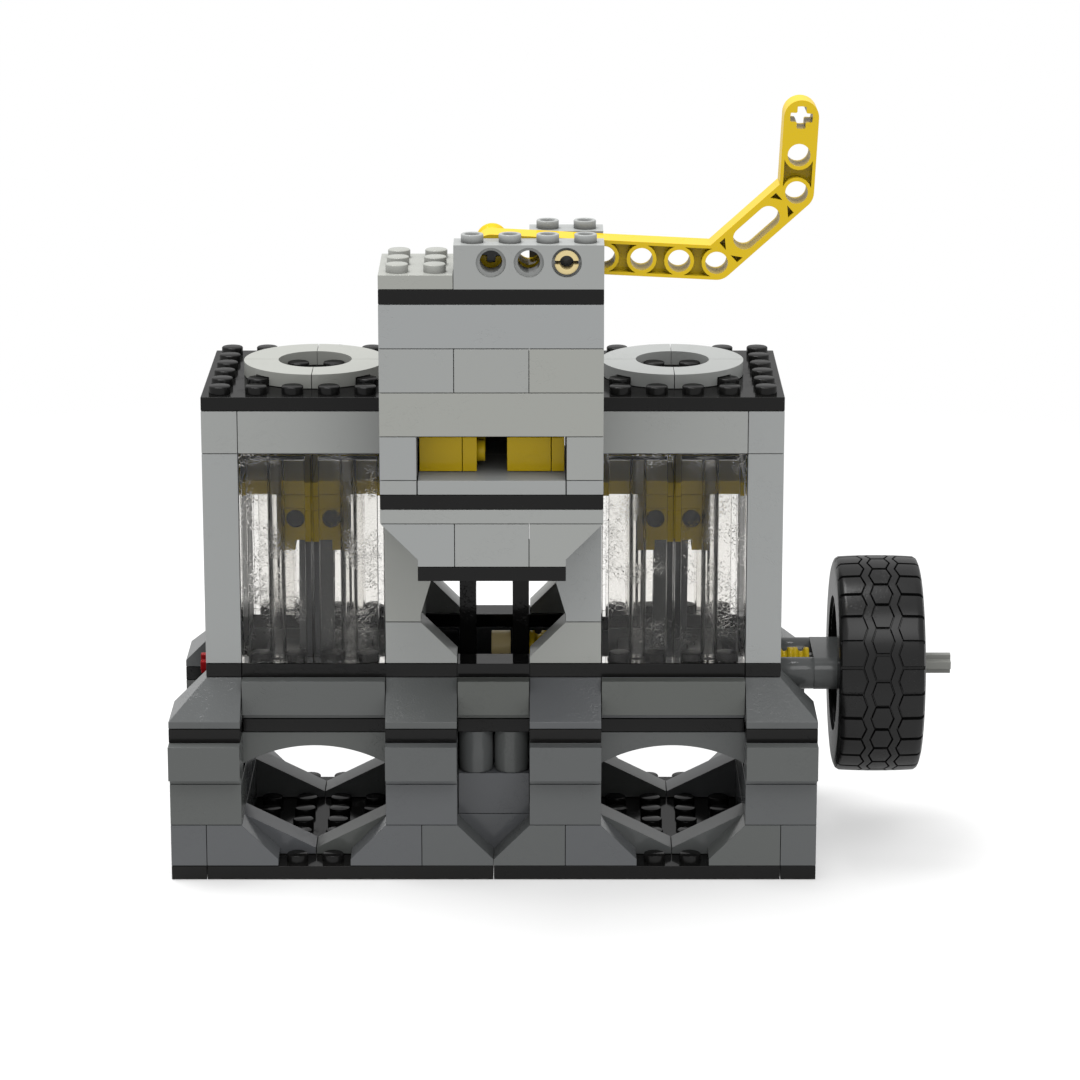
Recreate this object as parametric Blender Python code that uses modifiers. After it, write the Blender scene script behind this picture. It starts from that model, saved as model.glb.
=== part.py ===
# Vacuum engine model built from interlocking bricks, beams and axles.
# Metres, +Z up. X runs along the crankshaft, the front is towards -Y,
# and the origin is under the middle of the base.
import math

import bmesh
import bpy
from mathutils import Matrix, Vector

# Brick grid
PITCH = 0.008            # stud to stud
PLATE = 0.0032           # height of a thin plate; a brick is three of them
SEAM = 0.0003            # gap between neighbouring pieces
LIP = 0.0016             # upright edge at the foot of a slope brick
ROOT = 0.0006            # how deep a joined feature reaches into its carrier

# Studs, tubes and walls
STUD_RADIUS = 0.0024
STUD_HEIGHT = 0.0017
STUD_BORE = 0.0015       # radius of the bore in a hollow stud
TUBE_RADIUS = 0.0032     # tubes under the base
TUBE_BORE = 0.0024
WALL = 0.0015            # side wall of a hollow plate
SKIN = 0.0010            # top skin of a hollow plate
CLEAR_WALL = 0.0013      # wall of a clear brick
CLEAR_PIN = 0.0019       # radius of the pin inside a clear brick
COLUMN_RADIUS = 0.0038   # round column bricks

# Beams, holes, pins and axles
HOLE_RISE = 0.0058       # hole centre above the bottom of its brick
PIN_RADIUS = 0.0023
RUN_GAP = 0.00035        # radial play of a pin or axle in its hole
HOLE_RADIUS = PIN_RADIUS + RUN_GAP
SINK_RADIUS = 0.0031     # wide mouth of a hole
SINK_DEPTH = 0.0008
PIN_BORE = 0.0015
PIN_SLOT = 0.0008
PIN_SPLIT = 0.0040       # depth of the split in the pin's ends
BEAM_HALF = 0.0037       # half the height of a beam, and its end radius
BEAM_WEB = 0.0016        # web left between the pockets of a beam
BEAM_FLANGE = 0.0009
RIM_STEP = 0.0004        # beam's edge to the rim round its hole
AXLE_REACH = 0.0023      # centre of a cross axle to the end of a rib
AXLE_RIB = 0.0009        # half the width of a rib
AXLE_FILLET = 1.15       # inner corner of the cross, in half ribs
BUSH_RADIUS = 0.0036
BUSH_GROOVE = 0.0009
SPACER_RADIUS = 0.0034

# Crank, pistons and valve gear
CRANK_THROW = PITCH
ECCENTRIC_THROW = 0.0040
PISTON_RISE = 0.0369     # crankshaft up to the piston pins at rest
CROWN_THICK = PLATE
YOKE_DROP = HOLE_RISE
SLEEVE_START = -0.0007   # where the tan sleeve begins along the shaft
SHAFT_STUB = 0.0034      # left end of the crankshaft past the wall, in the end bush
VALVE_PLAY = 0.0009      # valve blocks to the upright rockers
LEVER_TILT = math.radians(2.9)

# Flywheel
TYRE_RADIUS = 0.0246
TYRE_WIDTH = 0.0193
TYRE_GAP = 0.0052        # base's side to the tyre's left side
TYRE_WALL = 0.0092       # tread down to the bead
TYRE_SHOULDER = 0.0030
TREAD_DEPTH = 0.0010
HUB_RADIUS = 0.0042
RIM_WALL = 0.0014
DISC_THICK = 0.0030
DISC_INSET = 0.0040      # rim edge to the left face of the disc

# Counts on the grid, in studs from the middle or in plates from the floor
BASE_X, BASE_Y, SHAFT_END = 9, 4, 13
BLOCK_IN, BORE_IN, BORE_OUT, BLOCK_OUT = 2, 3, 7, 8
RECESS_Y, BORE_Y = 3, 2
TOWER_X, TOWER_Y = 3, 6
FLOOR, SLOPE_TOP, SPRING, BELT = 1, 4, 7, 10
COURSE, COURSE_TOP = 11, 14
BLOCK, SILL, CORBEL_START, COLLAR = 15, 18, 27, 30
BLOCK_TOP, PLATE_TOP, RING_TOP = 33, 34, 35
FOOT, CORBEL, LEDGE, STRIPE, SLOT, SLOT_TOP = 23, 24, 27, 28, 30, 33
TOWER_TOP, CAP_TOP, LOW_TOP, HIGH_TOP = 42, 43, 44, 46

ARCH_RISE = 0.0042       # crown above the arch's springing
ARCH_LEG = 0.0022        # upright part of the arch under its springing
ROUND_SIDES = 10
FINE_SIDES = 12
RING_SIDES = 32
WHEEL_SIDES = 52
LUGS = 26
FLAT = math.radians(0.5)  # faces closer than this count as one plane

COLLECTION = "vacuum_engine_model"


def studs(count):
    """Length of a number of studs."""
    return count * PITCH


def level(count):
    """Height of a number of plates above the floor."""
    return count * PLATE


def top(count):
    """Top face of a piece that ends at a level, with the seam above it."""
    return level(count) - SEAM


RIM_RADIUS = BEAM_HALF - RIM_STEP
TYRE_LEFT = studs(BASE_X) + TYRE_GAP
TYRE_BEAD = TYRE_RADIUS - TYRE_WALL
SHAFT_LEFT = -studs(BLOCK_OUT) - SHAFT_STUB
SHAFT_RIGHT = studs(SHAFT_END)
SHAFT_Z = level(COURSE) + HOLE_RISE
GUDGEON_Z = SHAFT_Z + PISTON_RISE
ECCENTRIC_Z = SHAFT_Z + ECCENTRIC_THROW
ROCKER_REACH = studs(4)
ROCKER_Z = ECCENTRIC_Z + ROCKER_REACH
ROCKER_TIP = ROCKER_Z + studs(3)
LEVER_X = studs(2)
LEVER_Z = level(CAP_TOP) + HOLE_RISE
BORE_MID = studs((BORE_IN + BORE_OUT) / 2)
BEAM_THICK = PITCH - SEAM
THIN_BEAM = PITCH / 2 - SEAM
ROD_LENGTH = math.hypot(CRANK_THROW, GUDGEON_Z - SHAFT_Z)
ROD_PLAY = BEAM_THICK / 2 + SEAM
RING_RADIUS = studs(2) - SEAM
RING_BORE = math.hypot(PITCH, PITCH) / 2 + STUD_RADIUS + SEAM

for old in list(bpy.data.objects):
    bpy.data.objects.remove(old, do_unlink=True)

model = bpy.data.collections.new(COLLECTION)
cutters = bpy.data.collections.new("cutters")
bpy.context.scene.collection.children.link(model)
bpy.context.scene.collection.children.link(cutters)


def make_material(name, colour, roughness, metallic=0.0, clear=0.0):
    material = bpy.data.materials.new(name)
    material.use_nodes = True
    shader = material.node_tree.nodes["Principled BSDF"]
    shader.inputs["Base Color"].default_value = (*colour, 1.0)
    shader.inputs["Roughness"].default_value = roughness
    shader.inputs["Metallic"].default_value = metallic
    shader.inputs["Transmission Weight"].default_value = clear
    return material


BLACK = make_material("black_plastic", (0.021, 0.021, 0.021), 0.35)
DARK = make_material("dark_grey_plastic", (0.120, 0.126, 0.124), 0.35)
LIGHT = make_material("light_grey_plastic", (0.352, 0.370, 0.366), 0.35)
YELLOW = make_material("yellow_plastic", (0.665, 0.460, 0.022), 0.35)
TAN = make_material("tan_plastic", (0.745, 0.605, 0.330), 0.40)
RED = make_material("red_plastic", (0.450, 0.008, 0.010), 0.35)
CLEAR = make_material("clear_plastic", (0.900, 0.910, 0.915), 0.05, clear=1.0)
RUBBER = make_material("black_rubber", (0.024, 0.024, 0.025), 0.60)


def finish(builder, name):
    """Mesh from a bmesh, with its faces pointing out."""
    bmesh.ops.recalc_face_normals(builder, faces=builder.faces)
    mesh = bpy.data.meshes.new(name)
    builder.to_mesh(mesh)
    builder.free()
    return mesh


def box(x, y, z):
    """Box between two values along each axis."""
    builder = bmesh.new()
    bmesh.ops.create_cube(builder)
    spans = [sorted(pair) for pair in (x, y, z)]
    for corner in builder.verts:
        corner.co = [span[value > 0] for span, value in zip(spans, corner.co)]
    return finish(builder, "box")


def frame_of(axis):
    """Rotation that turns an outline's (u, v) plane to stand across an axis."""
    if axis == "X":
        return Matrix(((0, 0, 1), (1, 0, 0), (0, 1, 0))).to_4x4()
    if axis == "Y":
        return Matrix(((1, 0, 0), (0, 0, -1), (0, 1, 0))).to_4x4()
    return Matrix.Identity(4)


def stand(builder, low, high, axis):
    """Move the two ends of an upright solid to exact places along an axis."""
    low, high = sorted((low, high))
    if axis == "Y":
        low, high = -high, -low
    for corner in builder.verts:
        corner.co.z = high if corner.co.z > 0 else low
    bmesh.ops.transform(builder, matrix=frame_of(axis), verts=builder.verts)


def prism(loops, low, high, axis):
    """Filled outline, the loops after the first being holes, extruded along an axis.
    Outlines are (Y, Z) across X, (X, Z) across Y and (X, Y) across Z."""
    curve = bpy.data.curves.new("outline", "CURVE")
    curve.dimensions = "2D"
    curve.fill_mode = "BOTH"
    curve.extrude = abs(high - low) / 2
    for loop in loops:
        spline = curve.splines.new("POLY")
        spline.points.add(len(loop) - 1)
        for point, (u, v) in zip(spline.points, loop):
            point.co = (u, v, 0, 1)
        spline.use_cyclic_u = True
    holder = bpy.data.objects.new("outline", curve)
    cutters.objects.link(holder)
    graph = bpy.context.evaluated_depsgraph_get()
    raw = bpy.data.meshes.new_from_object(holder.evaluated_get(graph))
    bpy.data.objects.remove(holder, do_unlink=True)
    builder = bmesh.new()
    builder.from_mesh(raw)
    bmesh.ops.remove_doubles(builder, verts=builder.verts, dist=SEAM / 100)
    if len(loops) == 1:
        bmesh.ops.dissolve_limit(builder, angle_limit=FLAT, verts=builder.verts, edges=builder.edges)
    stand(builder, low, high, axis)
    return finish(builder, "prism")


def arc(centre, radius, start, end, count):
    """Points along an arc, with angles in degrees, both ends included."""
    points = []
    for step in range(count + 1):
        angle = math.radians(start + (end - start) * step / count)
        points.append((centre[0] + radius * math.cos(angle), centre[1] + radius * math.sin(angle)))
    return points


def circle(centre, radius, sides=ROUND_SIDES):
    half_side = 180 / sides
    return arc(centre, radius, half_side, 360 + half_side, sides)[:-1]


def stadium(start, end, radius, steps=4):
    """Outline of a bar with round ends between two centres."""
    heading = math.degrees(math.atan2(end[1] - start[1], end[0] - start[0]))
    far = arc(end, radius, heading - 90, heading + 90, steps)
    near = arc(start, radius, heading + 90, heading + 270, steps)
    return far + near


def cross(centre, reach, rib):
    """Outline of a cross axle."""
    corner = [(reach, rib), (rib * AXLE_FILLET, rib * AXLE_FILLET), (rib, reach)]
    points = []
    for turn in range(4):
        for u, v in corner:
            for _ in range(turn):
                u, v = -v, u
            points.append((centre[0] + u, centre[1] + v))
    return points


def cylinder(centre, radius, low, high, axis, sides=ROUND_SIDES):
    builder = bmesh.new()
    bmesh.ops.create_cone(builder, cap_ends=True, segments=sides, radius1=radius,
                          radius2=radius, depth=abs(high - low))
    bmesh.ops.translate(builder, verts=builder.verts, vec=(*centre, 0))
    stand(builder, low, high, axis)
    return finish(builder, "cylinder")


def turned(profile, centre, sides=WHEEL_SIDES):
    """Closed (x, radius) profile turned about an axis along X through a (y, z) centre."""
    builder = bmesh.new()
    corners = [builder.verts.new((radius, 0, along)) for along, radius in profile]
    for index, corner in enumerate(corners):
        builder.edges.new((corners[index - 1], corner))
    mesh = bpy.data.meshes.new("profile")
    builder.to_mesh(mesh)
    builder.free()
    holder = bpy.data.objects.new("profile", mesh)
    cutters.objects.link(holder)
    screw = holder.modifiers.new("Screw", "SCREW")
    screw.steps = sides
    screw.render_steps = sides
    screw.use_merge_vertices = True
    screw.merge_threshold = SEAM / 100
    graph = bpy.context.evaluated_depsgraph_get()
    raw = bpy.data.meshes.new_from_object(holder.evaluated_get(graph))
    bpy.data.objects.remove(holder, do_unlink=True)
    builder = bmesh.new()
    builder.from_mesh(raw)
    bmesh.ops.remove_doubles(builder, verts=builder.verts, dist=SEAM / 100)
    place = Matrix.Translation((*centre, 0))
    bmesh.ops.transform(builder, matrix=frame_of("X") @ place, verts=builder.verts)
    return finish(builder, "turned")


def gather(meshes):
    """One mesh from several."""
    builder = bmesh.new()
    for mesh in meshes:
        builder.from_mesh(mesh)
    result = bpy.data.meshes.new("group")
    builder.to_mesh(result)
    builder.free()
    return result


def shape(target, meshes, operation):
    """Join meshes to a piece, or cut them from it, with a live Boolean."""
    tool = bpy.data.objects.new(target.name + "_" + operation.lower(), gather(meshes))
    tool.hide_render = True
    tool.display_type = "WIRE"
    cutters.objects.link(tool)
    modifier = target.modifiers.new(operation.title(), "BOOLEAN")
    modifier.operation = operation
    modifier.solver = "EXACT"
    modifier.use_self = len(meshes) > 1
    modifier.object = tool


def piece(name, mesh, material, joined=(), cut=(), kept=(), smooth=False, body=None):
    """Named object with its material and its joined, cut and kept shapes."""
    mesh.name = name
    mesh.materials.append(material)
    item = bpy.data.objects.new(name, mesh)
    model.objects.link(item)
    if kept:
        shape(item, kept, "INTERSECT")
    if joined:
        shape(item, joined, "UNION")
    if cut:
        shape(item, cut, "DIFFERENCE")
    if smooth:
        mesh.shade_smooth()
        mesh.set_sharp_from_angle(angle=math.radians(35))
    if body:
        item.parent = body
        item.matrix_parent_inverse = body.matrix_world.inverted()
    return item


def pivot(name, place, parent=None):
    """Empty on a joint's axis that carries a moving body's pieces."""
    empty = bpy.data.objects.new(name, None)
    empty.empty_display_size = PITCH
    empty.matrix_world = Matrix.Translation(place)
    model.objects.link(empty)
    if parent:
        empty.parent = parent
        empty.matrix_parent_inverse = Matrix.Translation(parent.matrix_world.translation).inverted()
    return empty


def stud_row(places, floor):
    """Studs at (x, y) places, rooted in the plate whose top is at a level."""
    foot = top(floor) - ROOT
    head = level(floor) + STUD_HEIGHT
    return [cylinder(place, STUD_RADIUS, foot, head, "Z") for place in places]


def hollow_studs(places, floor):
    """Studs with a bore, rooted in the brick whose top is at a level."""
    foot = top(floor) - ROOT
    head = level(floor) + STUD_HEIGHT
    rings = []
    for place in places:
        rings.append(prism([circle(place, STUD_RADIUS), circle(place, STUD_BORE)], foot, head, "Z"))
    return rings


def grid(x_places, y_places):
    """Stud centres for lists of places in studs."""
    return [(studs(x), studs(y)) for x in x_places for y in y_places]


def both(values):
    """Values and their mirror images."""
    return [-value for value in reversed(values)] + list(values)


def bearing_hole(centre, low, high, axis, radius=HOLE_RADIUS):
    """Stepped hole of a beam or hole brick."""
    parts = [cylinder(centre, radius, low - SEAM, high + SEAM, axis, FINE_SIDES)]
    for mouth, inward in ((low, 1), (high, -1)):
        ends = sorted((mouth - inward * SEAM, mouth + inward * SINK_DEPTH))
        parts.append(cylinder(centre, SINK_RADIUS, ends[0], ends[1], axis, FINE_SIDES))
    return parts


def base_plate():
    """Wide stud plate, hollow underneath, with tubes."""
    chamber = [-1.5, -0.5, 0.5, 1.5]
    in_chamber = both([3.5, 4.5, 5.5, 6.5])
    in_notch = both([4.5, 5.5])
    places = grid(in_chamber, chamber) + grid(in_notch, (-3.5, 3.5))
    ceiling = PLATE - SEAM - SKIN
    width = studs(BASE_Y) - WALL
    pockets = []
    for side in (-1, 1):
        main = (side * WALL, side * (studs(BLOCK_OUT) - WALL))
        strip = (side * (studs(BLOCK_OUT) + WALL), side * (studs(BASE_X) - WALL))
        for span in (main, strip):
            pockets.append(box(span, (-width, width), (-ROOT, ceiling)))
    tubes = []
    for place in grid(both([1, 3, 5, 7]), (-3, -1, 1, 3)):
        ring = [circle(place, TUBE_RADIUS, 8), circle(place, TUBE_BORE, 8)]
        tubes.append(prism(ring, 0, ceiling + ROOT / 2, "Z"))
    body = box((-studs(BASE_X), studs(BASE_X)), (-studs(BASE_Y), studs(BASE_Y)), (0, top(FLOOR)))
    plate = piece("base_plate", body, BLACK, cut=pockets)
    shape(plate, tubes + stud_row(places, FLOOR), "UNION")


def lower_wall(name, side):
    """Front or back of the lower block: pillars, slopes, arches and V slopes."""
    high = top(BELT)
    outer = (side * studs(BASE_Y), side * (studs(RECESS_Y) - ROOT))
    inner = (side * studs(RECESS_Y), side * studs(BORE_Y))
    foot = level(FLOOR)
    lip = foot + LIP
    step = top(SLOPE_TOP)
    half = [(0, lip), (1, step), (1, high), (3, high), (3, step), (4, lip), (4, foot)]
    right = [(studs(x), z) for x, z in half]
    left = [(-x, z) for x, z in reversed(right) if x]
    middle = prism([right + left], *sorted(outer), "Y")
    shapes = [middle]
    for hand in (-1, 1):
        corner = [(6, foot), (9, foot), (9, high), (7, high), (7, step), (6, lip)]
        shapes.append(prism([[(hand * studs(x), z) for x, z in corner]], *sorted(outer), "Y"))
        pillar = (hand * (studs(BORE_OUT) + ROOT), hand * studs(BASE_X))
        shapes.append(box(pillar, (side * (studs(RECESS_Y) + ROOT), side * studs(BORE_Y)), (foot, high)))
        for start in (1, 7):
            cover = (hand * studs(start), hand * studs(start + 2))
            depth = (side * studs(BASE_Y), side * (studs(BASE_Y) + PLATE))
            shapes.append(box(cover, depth, (level(BELT) - PITCH, high)))
        shapes.append(cylinder((hand * studs(0.5), side * studs(2.5)), COLUMN_RADIUS,
                               level(SPRING) - ROOT, high, "Z", FINE_SIDES))
    wall = [(-8, foot), (8, foot), (8, high), (1, high), (1, top(SPRING)),
            (-1, top(SPRING)), (-1, high), (-8, high)]
    loops = [[(studs(x), z) for x, z in wall]]
    spring = level(SPRING) + ARCH_LEG
    span = studs(2)
    radius = (span * span + ARCH_RISE * ARCH_RISE) / (2 * ARCH_RISE)
    reach = math.degrees(math.asin(span / radius))
    for hand in (-1, 1):
        middle_x = hand * BORE_MID
        crown = arc((middle_x, spring + ARCH_RISE - radius), radius, 90 - reach, 90 + reach, 8)
        loops.append([(middle_x - span, step), (middle_x, lip), (middle_x + span, step)] + crown)
    piece(name, prism(loops, *sorted(inner), "Y"), DARK, joined=shapes + side_walls(side))


def side_walls(side):
    """Walls along Y: the front half carries the inner pair, the back half the outer pair."""
    start, end = (BLOCK_IN, BORE_IN) if side < 0 else (BORE_OUT, BLOCK_OUT)
    depth = (-side * (studs(BORE_Y) - SEAM), side * (studs(BORE_Y) + ROOT))
    walls = []
    for hand in (-1, 1):
        span = (hand * (studs(start) + SEAM / 2), hand * (studs(end) - SEAM / 2))
        walls.append(box(span, depth, (level(FLOOR), top(BELT))))
    return walls


def rectangle(x, y):
    return [(x[0], y[0]), (x[1], y[0]), (x[1], y[1]), (x[0], y[1])]


def well_loops():
    """Holes over the two crank chambers and the valve well."""
    y = (-studs(BORE_Y), studs(BORE_Y))
    spans = [(-BORE_OUT, -BORE_IN), (-BLOCK_IN, BLOCK_IN), (BORE_IN, BORE_OUT)]
    return [rectangle((studs(low), studs(high)), y) for low, high in spans]


def belt_plates():
    """Black plates under and over the slope course."""
    quarter = [(8, 0), (8, 2), (9, 2), (9, 4), (7, 4), (7, 3), (3, 3), (3, 4), (1, 4), (1, 3)]
    turns = [quarter, [(-x, y) for x, y in reversed(quarter)],
             [(-x, -y) for x, y in quarter], [(x, -y) for x, y in reversed(quarter)]]
    outline = [(studs(x), studs(y)) for turn in turns for x, y in turn]
    outline = [place for index, place in enumerate(outline) if place != outline[index - 1]]
    lower = prism([outline] + well_loops(), level(BELT), top(COURSE), "Z")
    piece("belt_plate_lower", lower, BLACK)
    width = (-studs(BLOCK_OUT), studs(BLOCK_OUT))
    depth = (-studs(RECESS_Y), studs(RECESS_Y))
    upper = prism([rectangle(width, depth)] + well_loops(), level(COURSE_TOP), top(BLOCK), "Z")
    piece("belt_plate_upper", upper, BLACK)


def slope_course(name, side):
    """Bricks over the lower belt: slopes on the pillars, plates on edge in the bays."""
    foot, lip, high = level(COURSE), level(COURSE) + LIP, top(COURSE_TOP)
    inside = studs(BORE_Y) + PITCH / 2
    ramp = [(inside, foot), (studs(4), foot), (studs(4), lip), (studs(3), high), (inside, high)]
    ramp = [(side * y, z) for y, z in ramp]
    shapes = []
    for hand in (-1, 1):
        shapes.append(prism([ramp], *sorted((hand * studs(1), hand * studs(3))), "X"))
        bay = (hand * studs(3), hand * studs(7))
        shapes.append(box(bay, (side * studs(RECESS_Y), side * (studs(RECESS_Y) + PLATE)),
                          (level(COURSE_TOP) - PITCH, high)))
    shapes.append(box((-studs(1), studs(1)), (side * studs(RECESS_Y), side * (studs(RECESS_Y) + PLATE)),
                      (level(COURSE_TOP) - PITCH, high)))
    body = box((-studs(BLOCK_OUT), studs(BLOCK_OUT)), (side * studs(RECESS_Y), side * studs(BORE_Y)),
               (foot, high))
    course = piece(name, body, DARK, joined=shapes)
    for hand in (-1, 1):
        front = [(studs(2), foot), (studs(4), foot), (studs(4), lip), (studs(3), high), (studs(2), high)]
        flank = [(studs(7), foot), (studs(9), foot), (studs(9), lip), (studs(8), high), (studs(7), high)]
        block = prism([[(side * y, z) for y, z in front]], *sorted((hand * studs(7), hand * studs(9))), "X")
        slant = prism([[(hand * x, z) for x, z in flank]], *sorted((side * studs(2), side * studs(4))), "Y")
        corner = bpy.data.objects.new("corner", block)
        cutters.objects.link(corner)
        shape(corner, [slant], "INTERSECT")
        graph = bpy.context.evaluated_depsgraph_get()
        solid = bpy.data.meshes.new_from_object(corner.evaluated_get(graph))
        bpy.data.objects.remove(corner, do_unlink=True)
        shape(course, [solid], "UNION")


def bearing_bricks():
    """Hole bricks in the walls that carry the crankshaft."""
    depth = (-studs(BORE_Y) + SEAM, studs(BORE_Y) - SEAM)
    for word, hand in (("left", -1), ("right", 1)):
        for place, start in (("outer", BORE_OUT), ("inner", BLOCK_IN)):
            span = sorted((hand * studs(start), hand * studs(start + 1)))
            body = box(span, depth, (level(COURSE), top(COURSE_TOP)))
            hole = bearing_hole((0, SHAFT_Z), *span, "X")
            piece("bearing_brick_%s_%s" % (place, word), body, DARK, cut=hole)


def cylinder_block(word, hand):
    """Light walls round one bore, with windows for the clear bricks and slopes to the middle."""
    foot, high = level(BLOCK), top(BLOCK_TOP)
    outer = (hand * studs(BLOCK_IN), hand * studs(BLOCK_OUT))
    bore = (hand * studs(BORE_IN), hand * studs(BORE_OUT))
    body = box(outer, (-studs(RECESS_Y), studs(RECESS_Y)), (foot, high))
    over = studs(RECESS_Y) + SEAM
    cuts = [box(bore, (-studs(BORE_Y), studs(BORE_Y)), (foot - SEAM, high + SEAM)),
            box(bore, (-over, over), (foot - SEAM, level(COLLAR)))]
    seat = (hand * (studs(BLOCK_IN) - SEAM), hand * studs(BLOCK_IN + 0.5))
    cuts.append(cylinder((0, ROCKER_Z), HOLE_RADIUS, *sorted(seat), "X", FINE_SIDES))
    wing = [(2, foot), (1, foot), (1, foot + LIP), (2, top(SILL)), (2, level(SILL) + LIP),
            (1, top(CORBEL_START)), (2, top(CORBEL_START))]
    inside = hand * (studs(BLOCK_IN) + ROOT)
    wings = []
    for side in (-1, 1):
        loop = [(hand * studs(x), z) for x, z in wing[1:6]]
        loop += [(inside, top(CORBEL_START)), (inside, foot)]
        wings.append(prism([loop], *sorted((side * studs(RECESS_Y), side * studs(BORE_Y))), "Y"))
    block = piece("cylinder_block_" + word, body, LIGHT, cut=cuts)
    shape(block, wings, "UNION")


def clear_bricks():
    """Tall clear bricks in the windows, open underneath, each with its pin."""
    foot, high = level(BLOCK), top(COLLAR)
    for word, hand in (("left", -1), ("right", 1)):
        for place, side in (("front", -1), ("back", 1)):
            for number, start in enumerate((BORE_IN, BORE_IN + 2), 1):
                x = sorted((hand * (studs(start) + SEAM / 2), hand * (studs(start + 2) - SEAM / 2)))
                y = sorted((side * studs(BORE_Y), side * studs(RECESS_Y)))
                inner_x = (x[0] + CLEAR_WALL, x[1] - CLEAR_WALL)
                inner_y = (y[0] + CLEAR_WALL, y[1] - CLEAR_WALL)
                body = box(x, y, (foot, high))
                name = "clear_brick_%s_%s_%d" % (place, word, number)
                brick = piece(name, body, CLEAR,
                              cut=[box(inner_x, inner_y, (foot - SEAM, high - CLEAR_WALL))])
                middle = ((x[0] + x[1]) / 2, (y[0] + y[1]) / 2)
                pin = cylinder(middle, CLEAR_PIN, foot, high - CLEAR_WALL / 2, "Z")
                shape(brick, [pin], "UNION")


def block_tops():
    """Stud plate and round ring on each cylinder block."""
    depth = (-studs(RECESS_Y), studs(RECESS_Y))
    offsets = both([0.5, 1.5, 2.5])
    for word, hand in (("left", -1), ("right", 1)):
        span = (hand * studs(BLOCK_IN), hand * studs(BLOCK_OUT))
        places = []
        for x in offsets:
            for y in offsets:
                reach = max(abs(x), abs(y))
                if reach > 2 or reach < 1:
                    places.append((hand * BORE_MID + studs(x), studs(y)))
        piece("top_plate_" + word, box(span, depth, (level(BLOCK_TOP), top(PLATE_TOP))), BLACK,
              joined=stud_row(places, PLATE_TOP))
        centre = (hand * BORE_MID, 0)
        loops = [circle(centre, RING_RADIUS, RING_SIDES), circle(centre, RING_BORE, RING_SIDES)]
        piece("top_ring_" + word, prism(loops, level(PLATE_TOP), top(RING_TOP), "Z"), LIGHT)


def tower():
    """Valve tower in front of the cylinder blocks."""
    back = -studs(RECESS_Y) - SEAM
    depth = (-studs(TOWER_Y), back)
    neck = studs(BLOCK_IN) - SEAM
    tail = -studs(1)
    wide = (-studs(TOWER_X), studs(TOWER_X))
    narrow = (-studs(BLOCK_IN), studs(BLOCK_IN))
    piece("tower_foot_plate", box(narrow, depth, (level(FOOT), top(CORBEL))), BLACK)
    half = [(2, level(CORBEL)), (2, level(CORBEL) + LIP), (3, top(LEDGE)), (3, top(STRIPE))]
    right = [(studs(x), z) for x, z in half]
    left = [(-x, z) for x, z in reversed(right)]
    bridge = box((-neck, neck), (back - ROOT, -studs(BORE_Y)), (level(LEDGE), top(STRIPE)))
    piece("tower_corbel", prism([right + left], *depth, "Y"), LIGHT, joined=[bridge])
    stripe = [(wide[0], depth[0]), (wide[1], depth[0]), (wide[1], back), (neck, back), (neck, tail),
              (-neck, tail), (-neck, back), (wide[0], back)]
    piece("tower_stripe_plate", prism([stripe], level(STRIPE), top(STRIPE + 1), "Z"), BLACK)
    slot = box(narrow, (depth[0] - SEAM, 0), (top(SLOT), level(SLOT_TOP)))
    shelf = box((-neck, neck), (back - ROOT, tail), (level(STRIPE + 1), top(SLOT)))
    walls = piece("tower_walls", box(wide, depth, (level(STRIPE + 1), top(TOWER_TOP))), LIGHT, cut=[slot])
    shape(walls, [shelf], "UNION")
    piece("tower_top_plate", box(wide, depth, (level(TOWER_TOP), top(CAP_TOP))), BLACK)
    roof = box((-neck, neck), (-studs(RECESS_Y), studs(BORE_Y) + ROOT), (level(BLOCK_TOP), top(PLATE_TOP)))
    piece("bridge_back", box((-neck, neck), (studs(BORE_Y), studs(RECESS_Y)),
                             (level(CORBEL_START), top(PLATE_TOP))), BLACK, joined=[roof])


def tower_head():
    """Stud plate, hole bricks and pivot pin on top of the tower."""
    back = -studs(RECESS_Y) - SEAM
    floor = level(CAP_TOP)
    body = box((-studs(3), -studs(1) - SEAM), (-studs(TOWER_Y), back), (floor, top(LOW_TOP)))
    piece("stud_plate", body, LIGHT, joined=stud_row(grid((-2.5, -1.5), (-5.5, -4.5, -3.5)), LOW_TOP))
    front = (-studs(6), -studs(5) - SEAM / 2)
    body = box((-studs(1), studs(3)), front, (floor, top(HIGH_TOP)))
    holes = []
    for count in (0, 1, 2):
        holes += bearing_hole((studs(count), LEVER_Z), *front, "Y")
    brick = piece("pivot_brick_front", body, LIGHT, cut=holes)
    shape(brick, hollow_studs(grid((-0.5, 0.5, 1.5, 2.5), (-5.5,)), HIGH_TOP), "UNION")
    rear = (-studs(4) + SEAM / 2, back)
    body = box((studs(1), studs(3)), rear, (floor, top(HIGH_TOP)))
    brick = piece("pivot_brick_back", body, LIGHT, cut=bearing_hole((LEVER_X, LEVER_Z), *rear, "Y"))
    shape(brick, hollow_studs(grid((1.5, 2.5), (-3.5,)), HIGH_TOP), "UNION")
    ends = (-studs(TOWER_Y) + SEAM, back - SEAM)
    splits = []
    for mouth, inward in ((ends[0], 1), (ends[1], -1)):
        depth = sorted((mouth - inward * SEAM, mouth + inward * PIN_SPLIT))
        splits.append(cylinder((LEVER_X, LEVER_Z), PIN_BORE, *depth, "Y"))
        splits.append(box((LEVER_X - PIN_RADIUS - SEAM, LEVER_X + PIN_RADIUS + SEAM), depth,
                          (LEVER_Z - PIN_SLOT / 2, LEVER_Z + PIN_SLOT / 2)))
    pin = cylinder((LEVER_X, LEVER_Z), PIN_RADIUS, *ends, "Y", FINE_SIDES)
    piece("pivot_pin", pin, TAN, cut=splits, smooth=True)


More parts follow.
